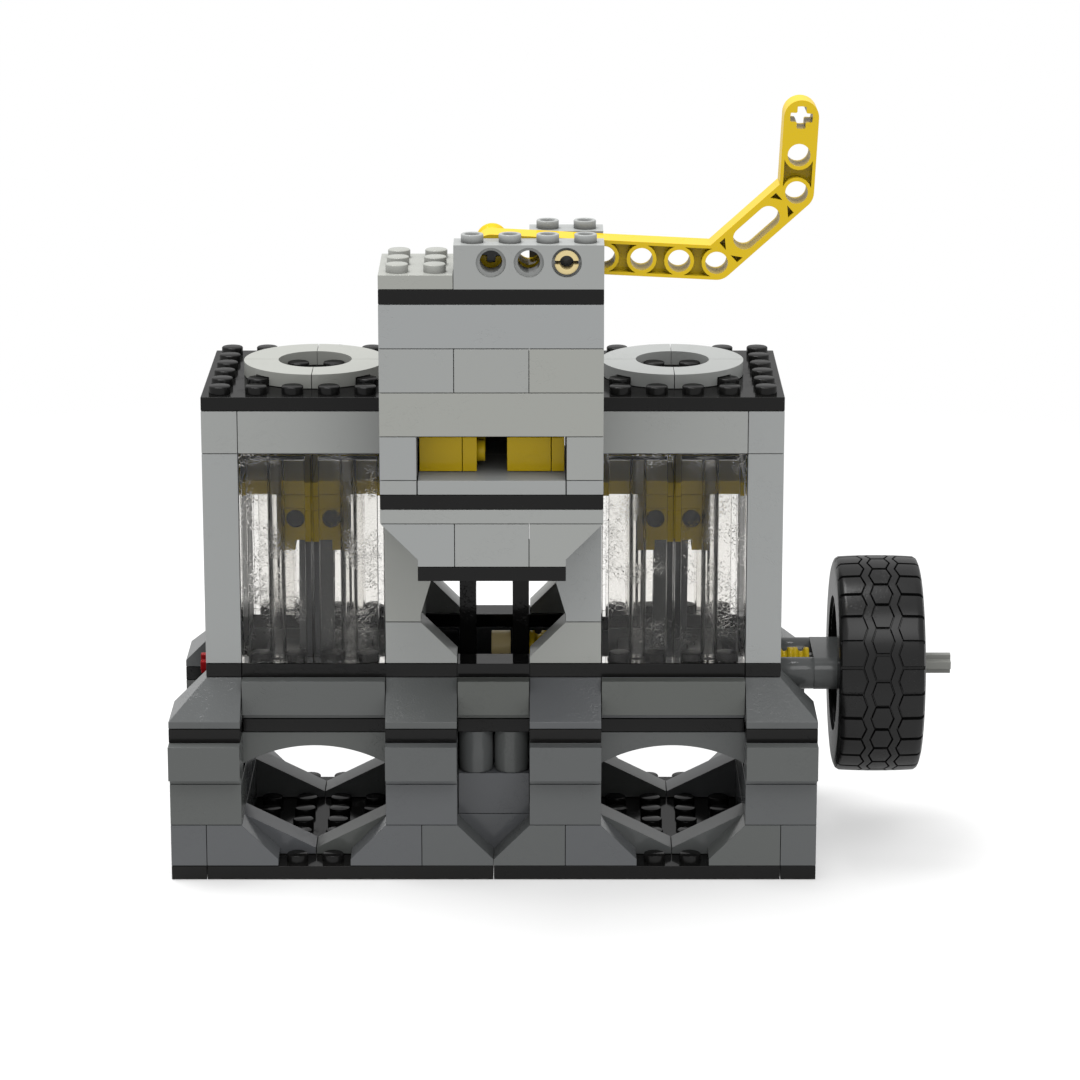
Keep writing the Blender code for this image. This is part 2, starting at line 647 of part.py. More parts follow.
def lever_path():
    """Hole centres of the hand lever before its tilt: straight arm, slope and upright arm."""
    straight = [(studs(count), 0) for count in range(-2, 5)]
    upright = [(studs(6), studs(count)) for count in (2, 3, 4)]
    return straight, upright


def tilt(points):
    """Turn (u, v) points by the lever's tilt and put them at its pivot."""
    turn = Matrix.Rotation(-LEVER_TILT, 2)
    return [(LEVER_X + (turn @ Vector(point))[0], LEVER_Z + (turn @ Vector(point))[1])
            for point in points]


def hand_lever():
    """Double-bent beam with round holes, a long slot, pockets and an axle hole."""
    straight, upright = lever_path()
    start, bend = straight[0], straight[-1]
    elbow, tip = upright[0], upright[-1]
    r = BEAM_HALF
    inner = math.tan(math.radians(22.5)) * r
    outline = arc(start, r, 90, 270, 8) + arc(bend, r, 270, 315, 3) + arc(elbow, r, 315, 360, 3)
    outline += arc(tip, r, 0, 180, 8)
    outline += [(elbow[0] - r, elbow[1] + inner), (bend[0] - inner, bend[1] + r)]
    slope = Vector((1, 1)).normalized()
    rise = math.hypot(elbow[0] - bend[0], elbow[1] - bend[1])
    slot_ends = [Vector(bend) + slope * (rise / 2 + sign * PITCH / 2 * 0.8) for sign in (-1, 1)]
    loops = [tilt(outline)]
    for place in straight[1:] + upright[:-1]:
        loops.append(tilt(circle(place, HOLE_RADIUS)))
    loops.append(tilt(stadium(*slot_ends, HOLE_RADIUS)))
    for place in (start, tip):
        loops.append(tilt(cross(place, AXLE_REACH + RUN_GAP / 2, AXLE_RIB + RUN_GAP / 2)))
    depth = (-studs(5) + SEAM / 2, -studs(4) - SEAM / 2)
    pockets = []
    pairs = list(zip(straight[1:-1], straight[2:])) + [upright[:2]]
    for near, far in pairs:
        pockets += beam_pockets(near, far, depth)
    body = pivot("hand_lever_pivot", (LEVER_X, 0, LEVER_Z))
    piece("hand_lever", prism(loops, *depth, "Y"), YELLOW, cut=pockets, body=body)


def beam_pockets(near, far, depth):
    """Hollows on both sides of a beam's web between two neighbouring holes."""
    near, far = Vector(near), Vector(far)
    along = (far - near).normalized()
    across = Vector((-along[1], along[0]))
    half = BEAM_HALF - BEAM_FLANGE
    reach = math.degrees(math.asin(half / RIM_RADIUS))
    turn = math.degrees(math.atan2(along[1], along[0]))
    loop = arc(near, RIM_RADIUS, turn - reach, turn + reach, 4)
    loop += arc(far, RIM_RADIUS, turn + 180 - reach, turn + 180 + reach, 4)
    middle = (depth[0] + depth[1]) / 2
    hollows = []
    for mouth, inward in ((depth[0], -1), (depth[1], 1)):
        span = sorted((mouth + inward * SEAM, middle + inward * BEAM_WEB / 2))
        hollows.append(prism([tilt(loop)], *span, "Y"))
    return hollows


def beam(name, start, end, count, x, material, body, closed=(), crossed=()):
    """Straight beam across X with holes spaced evenly between its end centres."""
    loops = [stadium(start, end, BEAM_HALF)]
    for step in range(count):
        share = step / (count - 1)
        place = tuple(a + (b - a) * share for a, b in zip(start, end))
        if step in crossed:
            loops.append(cross(place, AXLE_REACH + RUN_GAP, AXLE_RIB + RUN_GAP))
        elif step not in closed:
            loops.append(circle(place, HOLE_RADIUS))
    return piece(name, prism(loops, *sorted(x), "X"), material, body=body)


def valve_gear():
    """Rockers on their axle and the two valve blocks they push."""
    axle_end = studs(BLOCK_IN + 0.5) - SEAM
    loop = [cross((0, ROCKER_Z), AXLE_REACH, AXLE_RIB)]
    piece("rocker_axle", prism(loop, -axle_end, axle_end, "X"), BLACK)
    rocking = pivot("valve_rocker_pivot", (0, 0, ROCKER_Z))
    for word, hand in (("left", -1), ("right", 1)):
        x = (hand * (studs(0.5) + SEAM / 2), hand * (studs(1) - SEAM / 2))
        beam("valve_rocker_" + word, (0, ECCENTRIC_Z), (0, ROCKER_TIP), 8, x, BLACK, rocking)
    sliding = pivot("valve_slide_axis", (0, 0, level(SLOT)))
    z = (level(SLOT), level(SLOT) + PITCH - SEAM)
    y = (-studs(5), -BEAM_HALF - VALVE_PLAY)
    outer, edge = studs(BLOCK_IN) - SEAM, studs(BLOCK_IN) - 4 * PLATE
    bosses = []
    for row in (-4.5, -3.5, -2.5, -1.5):
        place = (studs(row), (z[0] + z[1]) / 2)
        bosses.append(cylinder(place, STUD_RADIUS, -edge - ROOT, -edge + STUD_HEIGHT, "X"))
    piece("valve_block_left", box((-outer, -edge), y, z), YELLOW, joined=bosses, body=sliding)
    piece("valve_block_right", box((edge, outer), y, z), YELLOW, body=sliding)


def piston(word, hand):
    """Crown and yoke on one body, with the connecting rod hung from its pin."""
    middle = hand * BORE_MID
    sliding = pivot("piston_%s_axis" % word, (middle, 0, GUDGEON_Z))
    rocking = pivot("connecting_rod_%s_pivot" % word, (middle, 0, GUDGEON_Z), sliding)
    wide = studs(2) - SEAM
    foot = GUDGEON_Z - YOKE_DROP
    brick_top = foot + 4 * PLATE
    yoke = box((middle - studs(1), middle + studs(1)), (-wide, studs(1)), (foot, brick_top + ROOT))
    crown = box((middle - wide, middle + wide), (-wide, wide), (brick_top, brick_top + CROWN_THICK))
    slot = box((middle - ROD_PLAY, middle + ROD_PLAY), (-studs(1), studs(1) + SEAM),
               (foot - SEAM, GUDGEON_Z + BEAM_HALF + SEAM))
    holes = []
    for offset in (-0.5, 0.5):
        place = (middle + studs(offset), GUDGEON_Z)
        holes.append(cylinder(place, HOLE_RADIUS, -wide - SEAM, -wide + SINK_DEPTH * 2, "Y"))
    item = piece("piston_" + word, yoke, YELLOW, joined=[crown], cut=[slot] + holes, body=sliding)
    pin = cylinder((0, GUDGEON_Z), PIN_RADIUS, middle - ROD_PLAY - ROOT, middle + ROD_PLAY + ROOT,
                   "X", FINE_SIDES)
    shape(item, [pin], "UNION")
    x = (middle - BEAM_THICK / 2, middle + BEAM_THICK / 2)
    beam("connecting_rod_" + word, (hand * CRANK_THROW, SHAFT_Z), (0, GUDGEON_Z), 5, x, DARK, rocking)


def crankshaft():
    """Shaft pieces, webs, eccentrics and bushes. The crank pins end short of the rods."""
    turning = pivot("crankshaft_axis", (0, 0, SHAFT_Z))
    centre = (0, SHAFT_Z)
    rib = [cross(centre, AXLE_REACH, AXLE_RIB)]
    inner_end = BORE_MID - ROD_PLAY
    outer_end = BORE_MID + ROD_PLAY
    piece("shaft_left", prism(rib, SHAFT_LEFT, -outer_end, "X"), LIGHT, body=turning)
    piece("shaft_right", prism(rib, outer_end, SHAFT_RIGHT, "X"), LIGHT, body=turning)
    for word, hand in (("left", -1), ("right", 1)):
        pin_step = 0 if hand < 0 else 2
        for place, start, along in (("outer", outer_end, 1), ("inner", inner_end, -1)):
            x = (hand * start, hand * (start + along * BEAM_THICK))
            beam("crank_web_%s_%s" % (place, word), (-CRANK_THROW, SHAFT_Z), (CRANK_THROW, SHAFT_Z), 3,
                 x, DARK, turning, closed=(pin_step,), crossed=(1,))
    lobe = [stadium(centre, (0, ECCENTRIC_Z), BEAM_HALF)]
    left_face = -studs(1) - SEAM
    left_lobe = prism(lobe, left_face - THIN_BEAM, left_face, "X")
    piece("valve_crank_left", left_lobe, BLACK, body=turning,
          joined=[prism(rib, -inner_end, left_face - THIN_BEAM + ROOT, "X")])
    right_face = studs(1.5) + SEAM
    stub = cylinder((0, ECCENTRIC_Z), PIN_RADIUS, studs(1) + SEAM, right_face + ROOT, "X", FINE_SIDES)
    right_lobe = prism(lobe, right_face, studs(2) - SEAM, "X")
    piece("valve_crank_right", right_lobe, BLACK, body=turning,
          joined=[prism(rib, studs(2) - SEAM - ROOT, inner_end, "X"), stub])
    bush("eccentric_bush", [studs(1) + SEAM, studs(1.5)], (0, ECCENTRIC_Z), YELLOW, turning)
    sleeve = prism([circle((0, ECCENTRIC_Z), BUSH_RADIUS, FINE_SIDES)], SLEEVE_START,
                   studs(0.5) - SEAM, "X")
    piece("eccentric_sleeve", sleeve, TAN, smooth=True, body=turning)
    wall = studs(BLOCK_OUT)
    bush("stop_bush_right", [wall + SEAM, wall + studs(0.5), wall + studs(1) - SEAM], centre, YELLOW, turning)
    bush("stop_bush_left", [SHAFT_LEFT, -wall - SEAM], centre, RED, turning)
    drive_beam(turning)
    flywheel(turning)


def bush(name, marks, centre, material, body):
    """Row of half bushes, each with a round groove, between marks along X."""
    profile = [(marks[0], HOLE_RADIUS)]
    for low, high in zip(marks, marks[1:]):
        width = high - low
        profile += [(low, BUSH_RADIUS), (low + width / 4, BUSH_RADIUS)]
        profile += [(low + width / 2, BUSH_RADIUS - BUSH_GROOVE), (high - width / 4, BUSH_RADIUS)]
        profile += [(high, BUSH_RADIUS)]
    profile.append((marks[-1], HOLE_RADIUS))
    clean = [place for index, place in enumerate(profile) if place != profile[index - 1]]
    return piece(name, turned(clean, centre, FINE_SIDES), material, smooth=True, body=body)


def drive_beam(body):
    """Beam pinned to the flywheel, with a spacer on each of its pins."""
    low = studs(BLOCK_OUT + 1) + SEAM
    reach = studs(1)
    loops = [stadium((-reach, SHAFT_Z), (reach, SHAFT_Z), BEAM_HALF)]
    loops.append(cross((0, SHAFT_Z), AXLE_REACH + RUN_GAP, AXLE_RIB + RUN_GAP))
    spacers = []
    for side in (-1, 1):
        spacers.append(cylinder((side * reach, SHAFT_Z), SPACER_RADIUS, studs(BLOCK_OUT) + SEAM * 2,
                                low + ROOT, "X", FINE_SIDES))
    piece("drive_beam", prism(loops, low, low + BEAM_THICK, "X"), DARK, joined=spacers, body=body)


def flywheel(body):
    """Wheel rim with its disc, and the tyre."""
    left, right = TYRE_LEFT + SEAM, TYRE_LEFT + TYRE_WIDTH - SEAM
    seat = TYRE_BEAD - SEAM
    well = seat - RIM_WALL
    disc_left = left + DISC_INSET
    bore = AXLE_REACH + RUN_GAP
    profile = [(left, seat), (right, seat), (right, well), (disc_left + DISC_THICK, well),
               (disc_left + DISC_THICK, HUB_RADIUS), (right, HUB_RADIUS), (right, bore),
               (disc_left, bore), (disc_left, well), (left, well)]
    piece("wheel_rim", turned(profile, (0, SHAFT_Z), RING_SIDES), BLACK, smooth=True, body=body)
    left, right = TYRE_LEFT, TYRE_LEFT + TYRE_WIDTH
    chamfer = TYRE_SHOULDER / 2
    inner_crown = TYRE_RADIUS - TREAD_DEPTH
    profile = [(left, TYRE_BEAD), (left, TYRE_RADIUS - TYRE_SHOULDER),
               (left + chamfer, inner_crown), (right - chamfer, inner_crown),
               (right, TYRE_RADIUS - TYRE_SHOULDER), (right, TYRE_BEAD)]
    piece("tyre", turned(profile, (0, SHAFT_Z)), RUBBER, joined=tread_blocks(), smooth=True, body=body)


def tread_blocks():
    """Lugs round the tyre: a row of hexagons along the middle and a row at each shoulder."""
    count = LUGS
    blocks = []
    foot = TYRE_RADIUS - TREAD_DEPTH - ROOT
    middle = TYRE_LEFT + TYRE_WIDTH / 2
    gap = TREAD_DEPTH
    arc_step = 2 * math.pi * TYRE_RADIUS / count
    hexagon = [(-0.9, 0), (-0.45, -0.42), (0.45, -0.42), (0.9, 0), (0.45, 0.42), (-0.45, 0.42)]
    shoulder = [(1.1, 0), (1.5, -0.42), (2.6, -0.42), (2.6, 0.42), (1.5, 0.42)]
    rows = [(hexagon, 1, 0), (shoulder, 1, 0.5), (shoulder, -1, 0.5)]
    unit = (TYRE_WIDTH - TYRE_SHOULDER - gap) / 2 / 2.6
    for shares, mirror, phase in rows:
        for index in range(count):
            loop = [(mirror * u * unit, v * arc_step) for u, v in shares]
            lug = prism([loop], foot, TYRE_RADIUS, "Z")
            turn = Matrix.Rotation(2 * math.pi * (index + phase) / count, 4, "X")
            lug.transform(Matrix.Translation((middle, 0, SHAFT_Z)) @ turn)
            blocks.append(lug)
    return blocks


base_plate()
lower_wall("lower_wall_front", -1)
lower_wall("lower_wall_back", 1)
belt_plates()
slope_course("slope_course_front", -1)
slope_course("slope_course_back", 1)
bearing_bricks()
cylinder_block("left", -1)
cylinder_block("right", 1)
clear_bricks()
block_tops()
tower()
tower_head()
hand_lever()
valve_gear()
piston("left", -1)
piston("right", 1)
crankshaft()
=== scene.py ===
import math

import bmesh
import bpy
import numpy as np
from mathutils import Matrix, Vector


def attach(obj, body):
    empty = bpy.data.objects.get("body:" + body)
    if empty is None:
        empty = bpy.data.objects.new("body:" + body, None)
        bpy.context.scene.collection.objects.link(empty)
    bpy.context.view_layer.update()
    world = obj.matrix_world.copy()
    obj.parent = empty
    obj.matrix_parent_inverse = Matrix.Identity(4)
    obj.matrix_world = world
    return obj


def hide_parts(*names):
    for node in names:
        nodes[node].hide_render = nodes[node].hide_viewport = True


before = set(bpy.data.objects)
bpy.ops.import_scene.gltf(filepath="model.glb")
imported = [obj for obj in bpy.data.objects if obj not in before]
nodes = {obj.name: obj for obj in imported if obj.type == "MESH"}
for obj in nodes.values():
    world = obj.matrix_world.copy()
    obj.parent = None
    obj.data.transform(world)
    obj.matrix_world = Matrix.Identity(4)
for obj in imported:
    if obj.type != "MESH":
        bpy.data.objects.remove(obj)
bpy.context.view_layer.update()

# Lengths are in metres. Places on the brick grid are given in studs and plates.
grid = {"pitch": 0.008, "plate": 0.0032, "seam": 0.00007, "lip": 0.0016, "edge": 0.00013, "edgeAngle": 30,
        "studRadius": 0.0024, "studHeight": 0.0017, "studRoot": 0.0004, "studEdge": 0.00022,
        "hollowEdge": 0.00014, "rodEdge": 0.00012, "holeRise": 0.0058,
        "beamHalf": 0.0037, "beamThick": 0.0077, "beamRoom": 0.00415, "endGap": 0.0003, "pin": 0.0023,
        "sleeve": 0.0036, "fineEdge": 0.00005, "cutEdge": 0.00001, "overrun": 0.001}
pitch, plate, seam, lip = grid["pitch"], grid["plate"], grid["seam"], grid["lip"]
endGap, cutEdge, overrun = grid["endGap"], grid["cutEdge"], grid["overrun"]
hands = (("left", -1), ("right", 1))
shaftZ = 11 * plate + grid["holeRise"]
eccentricZ = shaftZ + pitch / 2
rockerZ = eccentricZ + 4 * pitch
gudgeonZ = 0.0779                                       # the height of the pistons' pins at rest
leverX, leverZ = 2 * pitch, 43 * plate + grid["holeRise"]
toneSource = np.random.default_rng(7)


# Camera and light.
cameraSet = {"place": (0.01036, -0.9098, 0.3138), "tilt": 75.0, "focalPixels": 4156, "imagePixels": 1080,
             "sensor": 36}
lightSet = {"world": 0.84, "keyPlace": (-0.20, 0.12, 1.05), "keyPower": 8.0,
            "frontPlace": (0.17, -0.62, 0.92), "frontPower": 2.6, "size": 0.5, "aim": (0, 0, 0.07),
            "bounceShare": 0.22}
floorSet = {"rings": 12, "sides": 96, "middle": 0.02, "reach": 3.0, "drop": 0.0002, "seen": 0.93,
            "shadowShare": 0.55, "shadowNear": 0.12, "shadowFar": 0.45}


def makeCamera():
    camera = bpy.data.objects.new("camera", bpy.data.cameras.new("camera"))
    camera.location = cameraSet["place"]
    camera.rotation_euler = (math.radians(cameraSet["tilt"]), 0, 0)
    camera.data.lens = cameraSet["focalPixels"] * cameraSet["sensor"] / cameraSet["imagePixels"]
    camera.data.sensor_width = cameraSet["sensor"]
    camera.data.clip_end = 20
    bpy.context.scene.collection.objects.link(camera)
    bpy.context.scene.camera = camera


def seenRays(tree):
    # One for the rays that see the studio itself, and nought for the rays that carry its light.
    path = tree.nodes.new("ShaderNodeLightPath")
    first = mathNode(tree, "MAXIMUM", path.outputs["Is Camera Ray"], path.outputs["Is Glossy Ray"])
    return mathNode(tree, "MAXIMUM", first, path.outputs["Is Transmission Ray"])


def makeLights():
    # The world is plain white to the camera, in reflections and through clear plastic, and an even
    # soft light otherwise.
    world = bpy.data.worlds.new("studio")
    bpy.context.scene.world = world
    world.use_nodes = True
    tree = world.node_tree
    tree.nodes.clear()
    strength = addNode(tree, "Mix", {"Factor": seenRays(tree), "A": lightSet["world"], "B": 1.0})
    shade = addNode(tree, "Background", {"Color": (1, 1, 1, 1), "Strength": strength.outputs["Result"]})
    addNode(tree, "OutputWorld", {"Surface": shade.outputs[0]})
    for name in ("key", "front"):
        lamp = bpy.data.objects.new(name, bpy.data.lights.new(name, "AREA"))
        lamp.data.energy = lightSet[name + "Power"]
        lamp.data.size = lightSet["size"]
        lamp.location = lightSet[name + "Place"]
        aim = Vector(lightSet["aim"]) - Vector(lightSet[name + "Place"])
        lamp.rotation_euler = aim.to_track_quat("-Z", "Y").to_euler()
        bpy.context.scene.collection.objects.link(lamp)


def floorMaterial():
    # Matt and pale to the eye, so that the shadow shows; light that is carried on passes through it.
    material, tree = newMaterial("floorPale")
    tree.nodes.clear()
    place = tree.nodes.new("ShaderNodeTexCoord").outputs["Object"]
    length = addNode(tree, "VectorMath", {0: place}, operation="LENGTH")
    fade = addNode(tree, "MapRange", {
        "Value": length.outputs["Value"], "From Min": floorSet["shadowNear"],
        "From Max": floorSet["shadowFar"], "To Min": 1 - floorSet["shadowShare"]})
    away = mathNode(tree, "SUBTRACT", 1.0, seenRays(tree))
    share = mathNode(tree, "MAXIMUM", fade.outputs["Result"], away)
    matt = addNode(tree, "BsdfDiffuse", {"Color": (floorSet["seen"],) * 3 + (1,)})
    clear = addNode(tree, "BsdfTransparent")
    mix = addNode(tree, "MixShader", {"Fac": share, 1: matt.outputs[0], 2: clear.outputs[0]})
    addNode(tree, "OutputMaterial", {"Surface": mix.outputs[0]})
    return material


def makeFloor():
    # A flat disc: points on rings from the middle out to its rim.
    turn = np.linspace(0, 2 * np.pi, floorSet["sides"], endpoint=False)
    out = np.linspace(floorSet["middle"], floorSet["reach"], floorSet["rings"])[:, None]
    points = np.stack([out * np.cos(turn), out * np.sin(turn), np.zeros_like(out * turn)], axis=2)
    floor = shownObject("floor", [loftSolid(points, caps=(True, False))], "floor", body=None, bevel=0)
    floor.location.z = -floorSet["drop"]


# Surfaces. A solid is its points, its faces and its tone.
def toneOf(tone=None):
    return toneSource.uniform(-1, 1) if tone is None else tone


def loftSolid(rings, wrap=False, caps=(True, True), tone=None):
    # Quads between each ring of points and the next; the end rings are closed by one face each,
    # or the last ring is joined to the first.
    rings = np.asarray(rings, float)
    count, sides = rings.shape[:2]
    row = np.arange(count if wrap else count - 1)[:, None]
    column = np.arange(sides)[None, :]
    after = (row + 1) % count
    beside = (column + 1) % sides
    quads = np.stack([row * sides + column, row * sides + beside, after * sides + beside,
                      after * sides + column], axis=2).reshape(-1, 4)
    faces = quads.tolist()
    if not wrap and caps[0]:
        faces.append(list(range(sides))[::-1])
    if not wrap and caps[1]:
        faces.append(list(range((count - 1) * sides, count * sides)))
    return rings.reshape(-1, 3), faces, toneOf(tone)


def onAxis(flat, along, axis):
    # Turns (u, v) points and a distance along an axis into (x, y, z).
    flat = np.asarray(flat, float)
    u, v = flat[..., 0], flat[..., 1]
    w = np.broadcast_to(along, u.shape)
    order = {"X": (w, u, v), "Y": (u, w, v), "Z": (u, v, w)}[axis]
    return np.stack(order, axis=-1)


def shrink(outline, amount):
    # Moves each side of a closed outline inwards by an amount, with mitred corners.
    points = np.asarray(outline, float)
    area = np.sum(points[:, 0] * np.roll(points[:, 1], -1) - np.roll(points[:, 0], -1) * points[:, 1])
    points = points if area > 0 else points[::-1]
    ahead = np.roll(points, -1, axis=0) - points
    ahead /= np.linalg.norm(ahead, axis=1)[:, None]
    inward = np.stack([-ahead[:, 1], ahead[:, 0]], axis=1)
    before = np.roll(inward, 1, axis=0)
    mitre = (inward + before) / (1 + np.sum(inward * before, axis=1))[:, None]
    return points + mitre * amount


def prismSolid(outline, low, high, axis, gap=seam, tone=None):
    # An outline carried straight along an axis, drawn in by the seam on every side.
    outline = shrink(outline, gap) if gap else np.asarray(outline, float)
    low, high = min(low, high) + gap, max(low, high) - gap
    return loftSolid([onAxis(outline, low, axis), onAxis(outline, high, axis)], tone=tone)


def rectangle(x, y):
    x, y = sorted(x), sorted(y)
    return [(x[0], y[0]), (x[1], y[0]), (x[1], y[1]), (x[0], y[1])]


def boxSolid(x, y, z, gap=seam, tone=None):
    # A rectangle carried upwards.
    return prismSolid(rectangle(x, y), z[0], z[1], "Z", gap, tone)


def brickSolid(x, y, z, tone=None):
    # A plain brick from stud to stud and from plate to plate.
    return boxSolid([v * pitch for v in x], [v * pitch for v in y], [v * plate for v in z], tone=tone)


def slopeOutline(wall, toe, head, low, high):
    # A slope brick from its end, in studs and plates: an upright wall, a lip over the toe, and a
    # straight slope from the lip to the head.
    return [(wall * pitch, low * plate), (toe * pitch, low * plate), (toe * pitch, low * plate + lip),
            (head * pitch, high * plate), (wall * pitch, high * plate)]


def faceSolid(outline, row, hand, tone=None):
    # An outline of (x, height), turned to one hand and carried along Y from stud to stud.
    outline = [(hand * x, z) for x, z in outline]
    return prismSolid(outline, row[0] * pitch, row[1] * pitch, "Y", tone=tone)


def panelSolid(x, row, side, top, tone):
    # A plate set on its side against the face of a row: one stud high and one plate thick.
    y = (side * row * pitch, side * (row * pitch + plate))
    return boxSolid([v * pitch for v in x], y, (top * plate - pitch, top * plate), tone=tone)


def shellSolid(x, y, low, high, gap, wall, skin, tone):
    # A brick that is open underneath: down the inside, across the rim, up the outside and over.
    inner, outer = shrink(rectangle(x, y), wall), shrink(rectangle(x, y), gap)
    rings = ((inner, high - skin), (inner, low), (outer, low), (outer, high))
    return loftSolid([onAxis(ring, level, "Z") for ring, level in rings], tone=tone)


def circlePoints(centre, radius, sides):
    # Points at even angles round a centre.
    turn = np.linspace(0, 2 * np.pi, sides, endpoint=False)
    return np.stack([centre[0] + radius * np.cos(turn), centre[1] + radius * np.sin(turn)], axis=1)


def turnedSolid(profile, centre, axis, sides=32, closed=False, tone=None):
    # A profile of (along, radius) turned about an axis: each profile point becomes a circle.
    rings = [onAxis(circlePoints(centre, radius, sides), along, axis) for along, radius in profile]
    return loftSolid(rings, wrap=closed, tone=tone)


def rodSolid(centre, radius, low, high, axis, sides=32, edge=grid["rodEdge"], tone=None):
    # A rod with rounded edges: between its ends each edge has one point on the round.
    cut = edge * 0.3
    profile = [(low, radius - edge), (low + cut, radius - cut), (low + edge, radius),
               (high - edge, radius), (high - cut, radius - cut), (high, radius - edge)]
    return turnedSolid(profile, centre, axis, sides, tone=tone)


def tubeSolid(centre, radius, bore, low, high, sides):
    # An upright tube: up the outside and down the bore.
    profile = [(low, radius), (high, radius), (high, bore), (low, bore)]
    return turnedSolid(profile, centre, "Z", sides, closed=True, tone=0)


def studSolid(x, y, level, tone):
    # A stud: a short turned peg with a rounded top edge, rooted a little below its plate's top.
    radius, foot, edge = grid["studRadius"], level * plate, grid["studEdge"]
    high, cut = foot + grid["studHeight"], edge * 0.3
    profile = [(foot - grid["studRoot"], radius), (high - edge, radius), (high - cut, radius - cut),
               (high, radius - edge)]
    return turnedSolid(profile, (x * pitch, y * pitch), "Z", tone=tone)


def hollowStudSolid(centre, foot, well, tone):
    # A stud with a round well through it: the profile runs up the outside and down the inside.
    radius, edge = grid["studRadius"], grid["hollowEdge"]
    root, high = foot - grid["studRoot"], foot + grid["studHeight"]
    profile = [(root, well), (root, radius), (high - edge, radius), (high, radius - edge),
               (high, well + edge), (high - edge, well)]
    return turnedSolid(profile, centre, "Z", closed=True, tone=tone)


# Meshes.
def gatheredMesh(name, solids):
    # One mesh of several solids: each one's faces count on from the points before it.
    points = np.concatenate([solid[0] for solid in solids])
    starts = np.cumsum([0] + [len(solid[0]) for solid in solids[:-1]])
    faces = [[int(start) + i for i in face] for start, solid in zip(starts, solids) for face in solid[1]]
    mesh = bpy.data.meshes.new(name)
    mesh.from_pydata(points.tolist(), [], faces)
    return mesh


def turnOutward(mesh):
    work = bmesh.new()
    work.from_mesh(mesh)
    bmesh.ops.recalc_face_normals(work, faces=work.faces)
    work.to_mesh(mesh)
    work.free()


def storeTone(mesh, tones):
    mesh.attributes.new("tone", "FLOAT", "POINT").data.foreach_set("value", tones.astype(np.float32))


def shownObject(name, solids, finish, node=None, body="engine_block", bevel=grid["edge"], slotName=None):
    # Gathers solids in one piece, with each solid's tone on its points.
    mesh = gatheredMesh(name, solids)
    storeTone(mesh, np.concatenate([np.full(len(solid[0]), solid[2]) for solid in solids]))
    return dressMesh(name, mesh, finish, node, body, bevel, slotName)


def dressMesh(name, mesh, finish, node=None, body="engine_block", bevel=grid["edge"], slotName=None):
    # Paints a mesh, rounds its edges and rides it on its body, in place of its CAD node.
    turnOutward(mesh)
    mesh.materials.clear()
    mesh.materials.append(paint[finish])
    mesh.shade_smooth()
    piece = bpy.data.objects.new(name, mesh)
    bpy.context.scene.collection.objects.link(piece)
    if bevel:
        modifier = piece.modifiers.new("edges", "BEVEL")
        modifier.width = bevel
        modifier.segments = 2
        modifier.limit_method = "ANGLE"
        modifier.angle_limit = math.radians(grid["edgeAngle"])
        modifier.harden_normals = True
    if body:
        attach(piece, body)
    if node:
        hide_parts(node)
    slotName = slotName or slotOf.get(finish)
    return piece


def cutAway(name, mesh, cutSolids, crossing):
    # Cuts solids from a mesh with an exact Boolean, and keeps the result as a plain mesh. Crossing
    # is for a mesh whose own solids may overlap.
    tool = gatheredMesh("cut", cutSolids)
    turnOutward(tool)
    block, cutter = bpy.data.objects.new("carve", mesh), bpy.data.objects.new("cut", tool)
    for item in (block, cutter):
        bpy.context.scene.collection.objects.link(item)
    modifier = block.modifiers.new("carve", "BOOLEAN")
    modifier.operation = "DIFFERENCE"
    modifier.solver = "EXACT"
    modifier.use_self = crossing
    modifier.object = cutter
    result = bpy.data.meshes.new_from_object(block.evaluated_get(bpy.context.evaluated_depsgraph_get()))
    result.name = name
    for item in (block, cutter):
        bpy.data.objects.remove(item, do_unlink=True)
    return result


def carvedMesh(name, bodySolids, cutSolids, tone=None):
    mesh = gatheredMesh("carve", bodySolids)
    turnOutward(mesh)
    mesh = cutAway(name, mesh, cutSolids, True)
    storeTone(mesh, np.full(len(mesh.vertices), toneOf(tone)))
    return mesh


# Nodes and node groups.
def fillInputs(tree, node, inputs):
    # Joins each input to another node's output, or gives it a value.
    for label, value in inputs.items():
        if isinstance(value, bpy.types.NodeSocket):
            tree.links.new(value, node.inputs[label])
        else:
            node.inputs[label].default_value = value


def addNode(tree, kind, inputs=None, **settings):
    node = tree.nodes.new("ShaderNode" + kind)
    for label, value in settings.items():
        setattr(node, label, value)
    fillInputs(tree, node, inputs or {})
    return node


def mathNode(tree, operation, *values):
    return addNode(tree, "Math", dict(enumerate(values)), operation=operation).outputs[0]


def noiseNode(tree, vector, scale, detail, output="Fac"):
    return addNode(tree, "TexNoise", {"Vector": vector, "Scale": scale, "Detail": detail}).outputs[output]


def rampNode(tree, value, low, high):
    return addNode(tree, "MapRange", {"Value": value, "From Min": low, "From Max": high}).outputs["Result"]


def newMaterial(name):
    material = bpy.data.materials.new(name)
    material.use_nodes = True
    return material, material.node_tree


def newGroup(name, inputs, outputs):
    # An input is made from its first value: four parts are a colour, and one is a plain number.
    group = bpy.data.node_groups.new(name, "ShaderNodeTree")
    for label, value in inputs.items():
        kind = "NodeSocketColor" if isinstance(value, tuple) else "NodeSocketFloat"
        group.interface.new_socket(label, in_out="INPUT", socket_type=kind).default_value = value
    for label, kind in outputs.items():
        group.interface.new_socket(label, in_out="OUTPUT", socket_type=kind)
    return group, group.nodes.new("NodeGroupInput").outputs, group.nodes.new("NodeGroupOutput")


